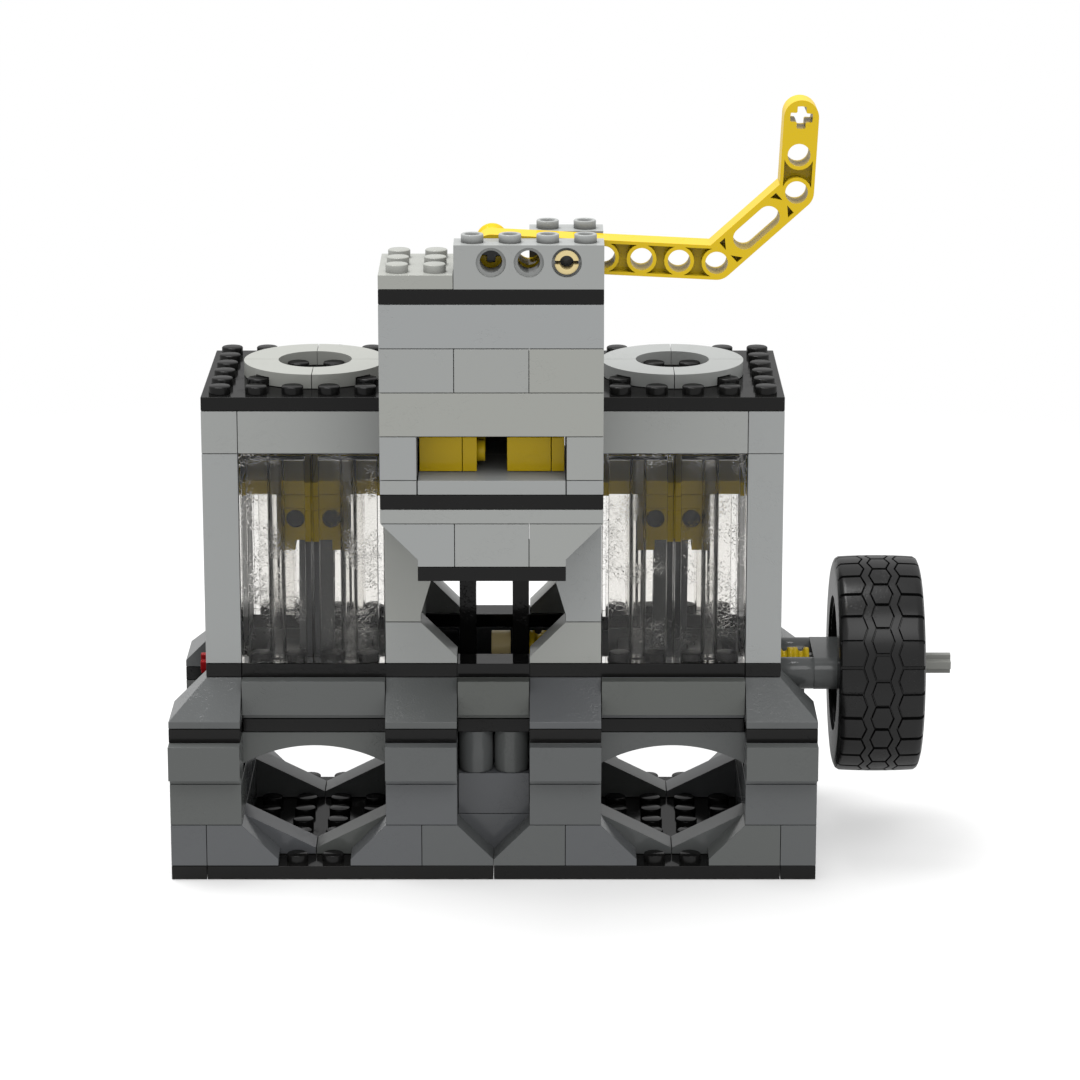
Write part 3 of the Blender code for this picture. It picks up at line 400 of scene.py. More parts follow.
def batchToneGroup():
    # Mixes a colour with a slightly warmer one, by each brick's own tone.
    grey = (0.5, 0.5, 0.5, 1)
    group, given, made = newGroup("batchTone", {"Colour": grey, "Warm": grey, "Amount": 0.5},
                                  {"Colour": "NodeSocketColor"})
    tone = addNode(group, "Attribute", attribute_name="tone")
    factor = mathNode(group, "MULTIPLY", rampNode(group, tone.outputs["Fac"], -1.0, 1.0), given["Amount"])
    mix = addNode(group, "Mix", {"Factor": factor, "A": given["Colour"], "B": given["Warm"]},
                  data_type="RGBA")
    group.links.new(mix.outputs["Result"], made.inputs["Colour"])
    return group


# Each scratch is noise drawn out one way: how its pattern is turned, and its scale.
markSet = {"rippleScale": 260.0, "bendScale": 190.0, "bend": 0.004, "patchScale": 105.0,
           "patch": (0.53, 0.62),
           "scratches": (((math.pi / 2, 1.0, 0), 1500.0), ((math.pi / 2, 2.3, 0), 1800.0),
                         ((0, 0, 0.9), 1600.0)),
           "stretch": 13.0, "line": (0.70, 0.76), "speckScale": 480.0, "speck": (0.20, 0.07),
           "slopeNormal": 0.72, "slope": (0.07, 0.04), "grainScale": 1900.0, "strength": 0.5}


def mouldMarksGroup():
    # Height of a moulded surface: a slow ripple, raised specks and thin bent scratches in patches,
    # and a fine grain on the faces that slope at about 45 degrees.
    m = markSet
    group, given, made = newGroup(
        "mouldMarks", {"Ripple": 0.3, "Specks": 0.5, "Scratches": 0.5, "Grain": 0.0, "Fineness": 1.0},
        {"Height": "NodeSocketFloat"})
    place = group.nodes.new("ShaderNodeTexCoord").outputs["Object"]
    fine = addNode(group, "VectorMath", {0: place, "Scale": given["Fineness"]}, operation="SCALE").outputs[0]
    sway = noiseNode(group, fine, m["bendScale"], 1.0, "Color")
    bent = addNode(group, "VectorMath", {0: sway, 1: (m["bend"],) * 3, 2: fine}, operation="MULTIPLY_ADD")
    patches = rampNode(group, noiseNode(group, place, m["patchScale"], 1.0), *m["patch"])
    lines = []
    for turn, scale in m["scratches"]:
        mapping = addNode(group, "Mapping", {"Vector": bent.outputs[0], "Rotation": turn,
                                             "Scale": (1.0, m["stretch"], 1.0)}, vector_type="TEXTURE")
        lines.append(rampNode(group, noiseNode(group, mapping.outputs["Vector"], scale, 0.0), *m["line"]))
    scratched = mathNode(group, "MAXIMUM", mathNode(group, "MAXIMUM", lines[0], lines[1]), lines[2])
    scratched = mathNode(group, "MULTIPLY", scratched, patches)
    speck = addNode(group, "TexVoronoi", {"Vector": fine, "Scale": m["speckScale"]})
    dots = mathNode(group, "MULTIPLY", rampNode(group, speck.outputs["Distance"], *m["speck"]), patches)
    normal = group.nodes.new("ShaderNodeNewGeometry").outputs["True Normal"]
    upward = addNode(group, "SeparateXYZ", {0: normal}).outputs["Z"]
    offSlope = mathNode(group, "ABSOLUTE", mathNode(group, "SUBTRACT", upward, m["slopeNormal"]))
    slope = rampNode(group, offSlope, *m["slope"])
    grain = mathNode(group, "MULTIPLY", noiseNode(group, place, m["grainScale"], 1.0), slope)
    total = mathNode(group, "MULTIPLY", noiseNode(group, place, m["rippleScale"], 2.0), given["Ripple"])
    for operation, mark, depth in (("ADD", dots, "Specks"), ("ADD", grain, "Grain"),
                                   ("SUBTRACT", scratched, "Scratches")):
        total = mathNode(group, operation, total, mathNode(group, "MULTIPLY", mark, given[depth]))
    group.links.new(total, made.inputs["Height"])
    return group


# Finishes. What a finish leaves out is as in plasticSet, and a warm colour left out is its own colour.
plasticSet = {"rough": 0.12, "shine": 0.32, "marks": 0.6, "grain": 0.0, "ripple": 0.08, "specks": 0.26,
              "scratches": 0.22, "fineness": 1.7, "depth": 0.00030}
finishes = {
    "lightGrey": {"colour": (0.330, 0.342, 0.345), "warm": (0.346, 0.352, 0.326), "marks": 1.0},
    "darkGrey": {"colour": (0.107, 0.111, 0.118), "warm": (0.104, 0.110, 0.103), "shine": 0.50, "marks": 1.0,
                 "grain": 0.22},
    "black": {"colour": (0.0075, 0.0075, 0.0075), "warm": (0.0095, 0.0092, 0.0088), "marks": 0.9},
    "glossBlack": {"colour": (0.006, 0.006, 0.006), "warm": (0.007, 0.007, 0.007), "rough": 0.05,
                   "shine": 0.40, "marks": 1.2},
    "yellow": {"colour": (0.672, 0.468, 0.012), "warm": (0.700, 0.480, 0.014), "marks": 0.9},
    "tan": {"colour": (0.730, 0.600, 0.310), "warm": (0.730, 0.590, 0.290)},
    "red": {"colour": (0.300, 0.008, 0.010)},
    "shaftGrey": {"colour": (0.240, 0.245, 0.230), "warm": (0.250, 0.252, 0.232)},
    "rubber": {"colour": (0.0060, 0.0060, 0.0062), "warm": (0.008, 0.008, 0.008), "rough": 0.26,
               "shine": 0.50, "marks": 1.2},
    # The pistons' yellow, darker than the yellow finish: painted shade for the pistons inside the clear
    # cylinders.
    "yellowPaintedShade": {"colour": (0.440, 0.310, 0.016), "rough": 0.30, "shine": 0.10, "marks": 0.5},
    "shade": {"colour": (0.0070, 0.0070, 0.0070), "rough": 0.5, "shine": 0.04, "marks": 0.5}}
clearFinish = {"colour": (0.925, 0.920, 0.908, 1), "rough": 0.0, "index": 1.45, "tint": (0.3, 0.3, 0.3, 1),
               "marks": {"Ripple": 0.04, "Specks": 1.3, "Scratches": 0.6, "Fineness": 1.9}, "depth": 0.00015}
slotOf = {"lightGrey": "light_grey", "shaftGrey": "light_grey", "darkGrey": "dark_grey", "black": "black",
          "glossBlack": "black", "shade": "black", "yellow": "yellow", "yellowPaintedShade": "yellow", "tan": "tan",
          "red": "red", "rubber": "tyre", "clear": "clear"}


def markedNormal(tree, marks, depth):
    # The mould marks as a bump of this depth.
    height = addNode(tree, "Group", marks, node_tree=groups["marks"]).outputs["Height"]
    bump = addNode(tree, "Bump", {"Height": height, "Strength": markSet["strength"], "Distance": depth})
    return bump.outputs["Normal"]


def plasticMaterial(name):
    # A matt colour under a clear shine. Light that leaves it for other pieces is dimmed.
    values = plasticSet | finishes[name]
    material, tree = newMaterial(name)
    warm = values.get("warm", values["colour"])
    tone = addNode(tree, "Group", {"Colour": (*values["colour"], 1), "Warm": (*warm, 1), "Amount": 1.0},
                   node_tree=groups["tone"])
    marks = {word.title(): values[word] * values["marks"] for word in ("ripple", "specks", "scratches")}
    marks |= {"Fineness": values["fineness"], "Grain": values["grain"]}
    normal = markedNormal(tree, marks, values["depth"])
    path = tree.nodes.new("ShaderNodeLightPath")
    dimming = mathNode(tree, "MULTIPLY", path.outputs["Is Diffuse Ray"], 1 - lightSet["bounceShare"])
    colour = addNode(tree, "Mix", {"Factor": dimming, "A": tone.outputs["Colour"], "B": (0, 0, 0, 1)},
                     data_type="RGBA")
    fillInputs(tree, tree.nodes["Principled BSDF"], {
        "Base Color": colour.outputs["Result"], "Roughness": values["rough"], "Specular IOR Level": 0.0,
        "Coat Weight": values["shine"], "Coat Roughness": values["rough"], "Coat IOR": 1.5,
        "Normal": normal, "Coat Normal": normal})
    return material


def clearMaterial():
    # Clear plastic that lets light through, with the same mould marks on it.
    values = clearFinish
    material, tree = newMaterial("clearPlastic")
    fillInputs(tree, tree.nodes["Principled BSDF"], {
        "Base Color": values["colour"], "Roughness": values["rough"], "IOR": values["index"],
        "Transmission Weight": 1.0, "Specular Tint": values["tint"],
        "Normal": markedNormal(tree, values["marks"], values["depth"])})
    return material


groups = {"tone": batchToneGroup(), "marks": mouldMarksGroup()}
paint = {name: plasticMaterial(name) for name in finishes}
paint |= {"clear": clearMaterial(), "floor": floorMaterial()}
print("finishes ready")


# Base plate.
baseSet = {"wall": 0.0015, "skin": 0.0010, "tube": 0.0032, "bore": 0.0024, "tubeFoot": 0.0001,
           "tubeSink": 0.0002}


def plateShell(x, y, z, tone=None):
    # A hollow plate, drawn in by the seam round its outside and below its top.
    return shellSolid(x, y, z[0], z[1] - seam, seam, baseSet["wall"], baseSet["skin"], tone)


def makeBase():
    solids = []
    for low, high in ((-9, -8), (-8, 0), (0, 8), (8, 9)):
        solids.append(plateShell((low * pitch, high * pitch), (-4 * pitch, 4 * pitch), (0, plate)))
    places = [(x, y) for x in (3.5, 4.5, 5.5, 6.5) for y in (-1.5, -0.5, 0.5, 1.5)]
    places += [(x, y) for x in (4.5, 5.5) for y in (-3.5, 3.5)]
    solids += [studSolid(hand * x, y, 1, 0) for x, y in places for hand in (-1, 1)]
    top = plate - baseSet["skin"] + baseSet["tubeSink"]
    for x in range(-7, 8, 2):
        for y in range(-3, 4, 2):
            solids.append(tubeSolid((x * pitch, y * pitch), baseSet["tube"], baseSet["bore"],
                                    baseSet["tubeFoot"], top, 24))
    shownObject("basePlates", solids, "black", "base_plate")


# Lower block. The tones of its bricks are given for the left and the right.
lowerSet = {"archRise": 0.0042, "archLeg": 0.0022, "column": 0.0039}
lowerTones = {"end": (-0.7, -0.2), "steepOut": (-0.7, 0.4), "steepIn": (-0.7, -0.7),
              "steepCentre": (-0.2, 0.1), "outer": (0.45, -0.3), "inner": (-0.65, -0.1), "arch": (0.5, 0.15)}


def makeLowerWall(name, side):
    both, outerRow, innerRow = (side * 2, side * 4), (side * 3, side * 4), (side * 2, side * 3)
    solids = []
    for hand in (-1, 1):
        tones = {word: pair[hand > 0] for word, pair in lowerTones.items()}
        solids.append(brickSolid((hand * 8, hand * 9), both, (1, 4), tones["end"]))
        for wall, toe, head, row, tone in (
                (8, 6, 7, outerRow, tones["steepOut"]), (2, 4, 3, outerRow, tones["steepIn"]),
                (2, 0, 1, outerRow, tones["steepCentre"]), (2, 5, 3, innerRow, None),
                (8, 5, 7, innerRow, None)):
            solids.append(faceSolid(slopeOutline(wall, toe, head, 1, 4), row, hand, tone))
        for level in ((4, 7), (7, 10)):
            solids.append(brickSolid((hand * 7, hand * 9), both, level, tones["outer"]))
            solids.append(brickSolid((hand * 1, hand * 3), outerRow, level, tones["inner"]))
        solids.append(brickSolid((hand * 1, hand * 3), innerRow, (4, 7)))
        solids.append(faceSolid(archOutline(), innerRow, hand, tones["arch"]))
        solids.append(brickSolid((hand * 1, hand * 2), innerRow, (7, 10)))
        for start, tone in ((1, -0.1), (7, 0.35)):
            solids.append(panelSolid((hand * start, hand * (start + 2)), 4, side, 10, tone))
        centre = (hand * pitch / 2, side * 2.5 * pitch)
        solids.append(rodSolid(centre, lowerSet["column"], 7 * plate, 10 * plate, "Z"))
        # The front call adds the side walls next to the centre, and the back call the outer ones.
        start = 2 if side < 0 else 7
        for low in (1, 4, 7):
            split = (-2, 0, 2) if low == 4 else (-2, 2)
            for near, far in zip(split, split[1:]):
                solids.append(brickSolid((hand * start, hand * (start + 1)), (near, far), (low, low + 3)))
    solids.append(brickSolid((-2, 2), innerRow, (1, 4)))
    solids.append(brickSolid((-1, 1), innerRow, (4, 7)))
    shownObject(name + "Bricks", solids, "darkGrey", name)


def archOutline():
    # A long arch brick: its outline runs along the top and back under the arc of its opening.
    foot, top = 7 * plate, 10 * plate
    rise, half = lowerSet["archRise"], 2 * pitch
    radius = (half * half + rise * rise) / (2 * rise)
    reach = math.asin(half / radius)
    turn = np.linspace(-reach, reach, 33)
    centre = foot + lowerSet["archLeg"] + rise - radius
    arc = np.stack([5 * pitch + radius * np.sin(turn), centre + radius * np.cos(turn)], axis=1)
    return [(2 * pitch, top), (2 * pitch, foot), (3 * pitch, foot), *arc.tolist(),
            (7 * pitch, foot), (8 * pitch, foot), (8 * pitch, top)]


# Belts and slopes. The middle bricks, in studs, reach their neighbours' sides.
centreSpan = (-1.0172, 1.0172)


def crossPlates(level):
    # The plates on top of the four side walls.
    return [brickSolid((hand * start, hand * (start + 1)), (-2, 2), level)
            for hand in (-1, 1) for start in (2, 7)]


def makeBelts():
    lower, upper, tiles = [], [], []
    for side in (-1, 1):
        near = (side * 2, side * 3)
        for hand in (-1, 1):
            lower.append(brickSolid((hand * 7, hand * 9), (side * 2, side * 4), (10, 11)))
            lower.append(brickSolid((hand * 1, hand * 3), (side * 3, side * 4), (10, 11)))
            lower.append(brickSolid((hand * 1, hand * 7), near, (10, 11)))
        lower.append(brickSolid(centreSpan, near, (10, 11)))
    lower += crossPlates((10, 11))
    shownObject("lowerBelt", lower, "black", "belt_plate_lower")
    for side in (-1, 1):
        near = (side * 2, side * 3)
        for hand in (-1, 1):
            upper.append(brickSolid((hand * 7, hand * 8), near, (14, 15)))
            upper.append(brickSolid((hand * 1, hand * 7), near, (14, 15)))
        tiles.append(brickSolid(centreSpan, near, (14, 15)))
    upper += crossPlates((14, 15))
    upper += [studSolid(hand * x, side * 2.5, 15, 0) for hand in (-1, 1) for x in (3.5, 4.5, 5.5, 6.5)
              for side in (-1, 1)]
    shownObject("upperBelt", upper, "black", "belt_plate_upper")
    shownObject("centreTiles", tiles, "glossBlack")


def cornerSlope(hand, side):
    # A corner brick with two 45 degree faces: a square section that steps in towards its top.
    rings = []
    for z, x, y in ((11 * plate + seam, 9, 4), (11 * plate + lip, 9, 4), (14 * plate - seam, 8, 3)):
        section = rectangle((hand * 7 * pitch, hand * x * pitch), (side * 2 * pitch, side * y * pitch))
        rings.append(onAxis(shrink(section, seam), z, "Z"))
    return loftSolid(rings, tone=-0.1)


def makeSlopeCourse(name, side):
    near = (side * 2, side * 3)
    ramp = [(side * y, z) for y, z in slopeOutline(2, 4, 3, 11, 14)]
    solids = [brickSolid(centreSpan, near, (11, 14))]
    for hand in (-1, 1):
        solids.append(prismSolid(ramp, hand * pitch, hand * 3 * pitch, "X", tone=-0.3 - 0.4 * hand))
        solids.append(cornerSlope(hand, side))
        solids.append(brickSolid((hand * 3, hand * 7), near, (11, 14)))
        solids.append(panelSolid((hand * 3, hand * 7), 3, side, 14, 0.6 + 0.3 * hand))
    solids.append(panelSolid((-1, 1), 3, side, 14, 1.0))
    shownObject(name + "Bricks", solids, "darkGrey", name)


# Cylinder blocks.
def makeCylinderBlock(word, hand):
    column, inner = (hand * 7, hand * 8), (hand * 2, hand * 3)
    solids = []
    for side in (-1, 1):
        near = (side * 2, side * 3)
        solids += [brickSolid(column, near, (15, 30), -0.6),
                   brickSolid(column, near, (30, 33), -0.4 - 0.2 * hand),
                   brickSolid((hand * 3, hand * 7), near, (30, 33), -0.1),
                   faceSolid(slopeOutline(3, 1, 2, 15, 18), near, hand, 0.1 + 0.4 * hand),
                   faceSolid(slopeOutline(3, 2, 1, 18, 27), near, hand, -0.6 * hand),
                   brickSolid(inner, near, (27, 30)), brickSolid(inner, near, (30, 33))]
    for index, low in enumerate(range(15, 33, 3)):
        split = (-2, 0, 2) if index % 2 else (-2, 2)
        for near, far in zip(split, split[1:]):
            solids.append(brickSolid(column, (near, far), (low, low + 3)))
            if low != 24:
                solids.append(brickSolid(inner, (near, far), (low, low + 3)))
    solids.append(brickSolid(inner, (-2, 2), (24, 27)))
    shownObject("cylinderBricks" + word.title(), solids, "lightGrey", "cylinder_block_" + word)


clearSet = {"wall": 0.0015, "seams": 1.5, "tube": 0.0019, "tubeBore": 0.0014, "tubeGap": 0.00002}


def makeClearBricks():
    # Each clear brick is a shell open underneath, with a round tube down its middle.
    wall, foot, high = clearSet["wall"], 15 * plate + seam, 30 * plate - seam
    top = high - wall - clearSet["tubeGap"]
    for word, hand in hands:
        for place, side in (("front", -1), ("back", 1)):
            for number, start in enumerate((3, 5), 1):
                x = (hand * start * pitch, hand * (start + 2) * pitch)
                y = (side * 2 * pitch, side * 3 * pitch)
                shell = shellSolid(x, y, foot, high, seam * clearSet["seams"], wall, wall, 0)
                centre = (sum(x) / 2, sum(y) / 2)
                tube = tubeSolid(centre, clearSet["tube"], clearSet["tubeBore"], foot, top, 32)
                name = "clearBrick%s%s%d" % (place.title(), word.title(), number)
                shownObject(name, [shell, tube], "clear", "clear_brick_%s_%s_%d" % (place, word, number))


def makeBlockTops():
    steps = (-2.5, -1.5, -0.5, 0.5, 1.5, 2.5)
    for word, hand in hands:
        tone = toneOf()
        x = (hand * 2 * pitch, hand * 8 * pitch)
        solids = [plateShell(x, (-3 * pitch, 3 * pitch), (33 * plate + seam, 34 * plate), tone)]
        for u in steps:
            for v in steps:
                # The studs stand outside the ring, in its hole, and in its own four sockets.
                reach = max(abs(u), abs(v))
                if reach > 2 or reach < 1 or abs(u) == abs(v):
                    solids.append(studSolid(hand * 5 + u, v, 34, tone))
        shownObject("topPlate" + word.title(), solids, "black", "top_plate_" + word)
        makeRing(word, hand)


ringSet = {"inner": 0.0082, "outer": 0.0159, "seamAngle": 0.35, "steps": 24, "socket": 0.00255,
           "socketRise": 0.0019, "edge": 0.0001}


def makeRing(word, hand):
    # Four quarter rings: a section of (radius, height) carried round 90 degrees, less the seam.
    inner, outer, low, high = ringSet["inner"], ringSet["outer"], 34 * plate + seam, 35 * plate
    section = np.array([(inner, low), (outer, low), (outer, high), (inner, high)])
    quarters = []
    for start in (0, 90, 180, 270):
        ends = (start + ringSet["seamAngle"], start + 90 - ringSet["seamAngle"])
        turn = np.radians(np.linspace(*ends, ringSet["steps"] + 1))[:, None]
        rings = [section[:, 0] * np.cos(turn) + hand * 5 * pitch, section[:, 0] * np.sin(turn),
                 section[:, 1] + 0 * turn]
        quarters.append(loftSolid(np.stack(rings, axis=2)))
    top = 34 * plate + ringSet["socketRise"]
    places = [((hand * 5 + u) * pitch, v * pitch) for u in (-1.5, 1.5) for v in (-1.5, 1.5)]
    cuts = [rodSolid(place, ringSet["socket"], low - overrun, top, "Z", edge=cutEdge) for place in places]
    name = "topRing" + word.title()
    dressMesh(name, carvedMesh(name, quarters, cuts), "lightGrey", "top_ring_" + word, bevel=ringSet["edge"])


# Tower, in studs. The tucked bricks fit between the cylinder blocks.
towerSet = {"full": (-3, 3), "deep": (-6, -3), "tucked": (-1.96, 1.96), "floorGap": 0.0001}


def makeTower():
    full, deep, tucked = towerSet["full"], towerSet["deep"], towerSet["tucked"]
    solids = [brickSolid((-1, 1), deep, (24, 27), -0.25)]
    for hand in (-1, 1):
        solids.append(faceSolid(slopeOutline(1, 2, 3, 24, 27), deep, hand, -0.3 + 0.3 * hand))
    solids += [brickSolid(full, deep, (27, 28), -0.1), brickSolid(tucked, (-3, -2), (27, 28))]
    shownObject("towerCorbelBricks", solids, "lightGrey", "tower_corbel")
    shownObject("towerFoot", [brickSolid((-2, 2), deep, (23, 24))], "black", "tower_foot_plate")
    stripe = [brickSolid(full, deep, (28, 29)), brickSolid(tucked, (-3, -1), (28, 29))]
    shownObject("towerStripe", stripe, "black", "tower_stripe_plate")
    solids = []
    for hand in (-1, 1):
        solids.append(brickSolid((hand * 2, hand * 3), deep, (29, 30), -0.5 - 0.2 * hand))
        solids.append(brickSolid((hand * 2, hand * 3), deep, (30, 33), -0.3 + 0.3 * hand))
    half = 2 * pitch - towerSet["floorGap"]
    solids.append(boxSolid((-half, half), (-6 * pitch, -3 * pitch), (29 * plate, 30 * plate), tone=-0.5))
    solids.append(brickSolid(tucked, (-3, -1), (29, 30)))
    solids.append(brickSolid(full, deep, (33, 36), 0.8))
    for start, tone in ((-3, -0.3), (-1, 0.0), (1, 0.8)):
        solids.append(brickSolid((start, start + 2), deep, (36, 39), tone))
    solids.append(brickSolid(full, deep, (39, 42), -0.8))
    shownObject("towerBricks", solids, "lightGrey", "tower_walls")
    shownObject("towerTop", [brickSolid(full, deep, (42, 43))], "black", "tower_top_plate")
    bridge = [brickSolid(tucked, (2, 3), (low, low + 3)) for low in (27, 30)]
    bridge.append(brickSolid(tucked, (-3, 3), (33, 34)))
    shownObject("bridgeBricks", bridge, "black", "bridge_back")


headSet = {"hole": 0.0024, "mouth": 0.0032, "sink": 0.0013, "well": 0.0016, "wellDepth": 0.0032,
           "brickTone": -0.3, "plateTone": 0.9}


def pinBrickCuts(x, low, high):
    # A hole right through the brick, with a wider mouth sunk in each side.
    hole, mouth, sink = headSet["hole"], headSet["mouth"], headSet["sink"]
    cuts = ((hole, low - overrun, high + overrun), (mouth, low - overrun, low + sink),
            (mouth, high - sink, high + overrun))
    return [rodSolid((x, leverZ), radius, near, far, "Y", 48, cutEdge) for radius, near, far in cuts]


def makeTowerHead():
    tone, well, top = headSet["brickTone"], headSet["well"], 46 * plate
    solids = [plateShell((-3 * pitch, -pitch), (-6 * pitch, -3 * pitch), (43 * plate + seam, 44 * plate),
                         headSet["plateTone"])]
    solids += [studSolid(x, y, 44, headSet["plateTone"]) for x in (-2.5, -1.5) for y in (-5.5, -4.5, -3.5)]
    shownObject("studPlate", solids, "lightGrey", "stud_plate")
    for word, x, y, holes in (("front", (-1, 3), (-6, -5), (0, 1, 2)), ("back", (1, 3), (-4, -3), (2,))):
        name = "pivotBrick" + word.title()
        low, high = y[0] * pitch + seam, y[1] * pitch - seam
        places = [((step + 0.5) * pitch, (low + high) / 2) for step in range(*x)]
        block = [brickSolid(x, y, (43, 46))]
        cuts = [cut for hole in holes for cut in pinBrickCuts(hole * pitch, low, high)]
        cuts += [rodSolid(place, well, top - headSet["wellDepth"], top + overrun, "Z", edge=cutEdge)
                 for place in places]
        dressMesh(name, carvedMesh(name, block, cuts, tone), "lightGrey", "pivot_brick_" + word)
        studs = [hollowStudSolid(place, top, well, tone) for place in places]
        shownObject(name + "Studs", studs, "lightGrey", bevel=0)


pinSet = {"front": 0.0002, "back": 0.0004, "bore": 0.0015, "collar": 0.0026, "rim": 0.0006, "neck": 0.0009,
          "edge": 0.0001, "slot": 0.0004, "slotDepth": 0.0040, "slotReach": 0.004, "coreSink": 0.0035}


def makePivotPin():
    # A friction pin: a turned tube with collars at its ends, split across by a flat slot.
    centre, low, high = (leverX, leverZ), -6 * pitch + pinSet["front"], -3 * pitch - pinSet["back"]
    radius, bore, collar, edge = grid["pin"], pinSet["bore"], pinSet["collar"], pinSet["edge"]
    rim, neck, depth = pinSet["rim"], pinSet["neck"], pinSet["slotDepth"]
    profile = [(low, bore), (low, radius), (low + edge, collar - edge), (low + 2 * edge, collar),
               (low + rim, collar), (low + neck, radius), (high - neck, radius), (high - rim, collar),
               (high - 2 * edge, collar), (high, radius), (high, bore)]
    tube = turnedSolid(profile, centre, "Y", 48, closed=True)
    # A dark grey plug deep in the bore, shown as part of the tan pin: painted shade for the inside of the
    # hollow pin.
    core = rodSolid(centre, bore + edge, low + pinSet["coreSink"], high - pinSet["coreSink"], "Y")
    x = (leverX - pinSet["slotReach"], leverX + pinSet["slotReach"])
    z = (leverZ - pinSet["slot"], leverZ + pinSet["slot"])
    cuts = [boxSolid(x, y, z, gap=0) for y in ((low - overrun, low + depth), (high - depth, high + overrun))]
    mesh = carvedMesh("pivotPin", [tube], cuts, tone=0)
    dressMesh("pivotPin", mesh, "tan", "pivot_pin", bevel=grid["fineEdge"])
    shownObject("pivotPinShadePlug", [core], "darkGrey", bevel=0, slotName="tan")


# Beams.
beamSet = {"hole": 0.0024, "rim": 0.0032, "flange": 0.0007, "web": 0.0018, "axleReach": 0.0024,
           "axleRib": 0.00095, "crossEdge": 0.0001, "thinBelow": 0.005}
pocketHalf = grid["beamHalf"] - beamSet["flange"]


def stadiumOutline(start, end, radius, steps=16):
    # Two half circles round the ends of a line.
    start, end = np.asarray(start, float), np.asarray(end, float)
    heading = math.atan2(end[1] - start[1], end[0] - start[0])
    far = heading + np.linspace(-math.pi / 2, math.pi / 2, steps + 1)
    arcs = [centre + radius * np.stack([np.cos(turn), np.sin(turn)], axis=1)
            for centre, turn in ((end, far), (start, far + math.pi))]
    return np.concatenate(arcs)


def crossOutline(centre, reach=beamSet["axleReach"], rib=beamSet["axleRib"]):
    # A cross with rounded rib ends and small fillets between its ribs: one quarter, turned four times.
    edge = beamSet["crossEdge"]
    inner, tip = rib * 1.12, reach - 0.8 * edge
    quarter = np.array([(tip, -rib + edge), (reach, 0), (tip, rib - edge), (reach - 2 * edge, rib),
                        (inner + edge, rib), (inner, inner), (rib, inner + edge), (rib, reach - 2 * edge)])
    turns = [quarter @ np.array([(c, s), (-s, c)]) for c, s in ((1, 0), (0, 1), (-1, 0), (0, -1))]
    return np.concatenate(turns) + np.asarray(centre)


def pocketOutline(near, far, steps=8):
    # The hollow between two holes: straight rails above and below, round rims at the ends.
    near, far = np.asarray(near, float), np.asarray(far, float)
    along = far - near
    reach = math.asin(pocketHalf / beamSet["rim"])
    turn = math.atan2(along[1], along[0]) + np.linspace(-reach, reach, steps + 1)
    arc = beamSet["rim"] * np.stack([np.cos(turn), np.sin(turn)], axis=1)
    return np.concatenate([near + arc, far - arc])


def throughCut(outline, low, high, axis):
    # A prism that runs past both faces, so that it cuts right through.
    return prismSolid(outline, low - overrun, high + overrun, axis, gap=0)


def beamMesh(name, outline, holes, pockets, crosses, low, high, axis, tone=None):
    # A beam with round and cross holes right through it, and pockets that leave a web in its middle.
    body = [prismSolid(outline, low, high, axis, gap=0)]
    middle, web = (low + high) / 2, beamSet["web"] / 2
    cuts = [throughCut(circlePoints(place, beamSet["hole"], 40), low, high, axis) for place in holes]
    cuts += [throughCut(crossOutline(place), low, high, axis) for place in crosses]
    for pocket in pockets:
        cuts.append(prismSolid(pocket, low - overrun, middle - web, axis, gap=0))
        cuts.append(prismSolid(pocket, middle + web, high + overrun, axis, gap=0))
    return carvedMesh(name, body, cuts, tone)


def straightBeam(name, node, start, end, count, span, finish, body, closed=(), crossed=()):
    # A beam from its first hole to its last; a thin one has no pockets.
    low, high = sorted(span)
    start, end = np.asarray(start, float), np.asarray(end, float)
    places = [start + (end - start) * step / (count - 1) for step in range(count)]
    holes = [place for step, place in enumerate(places) if step not in closed and step not in crossed]
    crosses = [places[step] for step in crossed]
    pairs = zip(places, places[1:]) if high - low > beamSet["thinBelow"] else ()
    pockets = [pocketOutline(near, far) for near, far in pairs]
    outline = stadiumOutline(start, end, grid["beamHalf"])
    mesh = beamMesh(name, outline, holes, pockets, crosses, low, high, "X")
    return dressMesh(name, mesh, finish, node, body)


leverSet = {"tilt": 2.9, "sideGap": 0.00015, "tone": 0.2, "edge": 0.00012, "slotReach": 0.0034,
            "corner": (0.0033, 0.0049), "cornerShares": (0.25, 0.95), "bushRadius": 0.00345,
            "bushBore": 0.0026, "bushLength": 0.0071, "bushGroove": 0.0004, "bushCollar": 0.0014,
            "bushStep": 0.0018, "bushEdge": 0.0001, "axleGap": 0.0001, "axleReach": 0.0002}


def leverPlace(points):
    # From the lever's own frame, with the pivot at its origin, to its place on the tower.
    turn = math.radians(-leverSet["tilt"])
    rotation = np.array([(math.cos(turn), math.sin(turn)), (-math.sin(turn), math.cos(turn))])
    return np.asarray(points, float) @ rotation + np.array([leverX, leverZ])


def arcPoints(centre, radius, start, stop, steps):
    # Points at even angles from one angle to another, in degrees.
    turn = np.radians(np.linspace(start, stop, steps + 1))
    return centre + radius * np.stack([np.cos(turn), np.sin(turn)], axis=1)


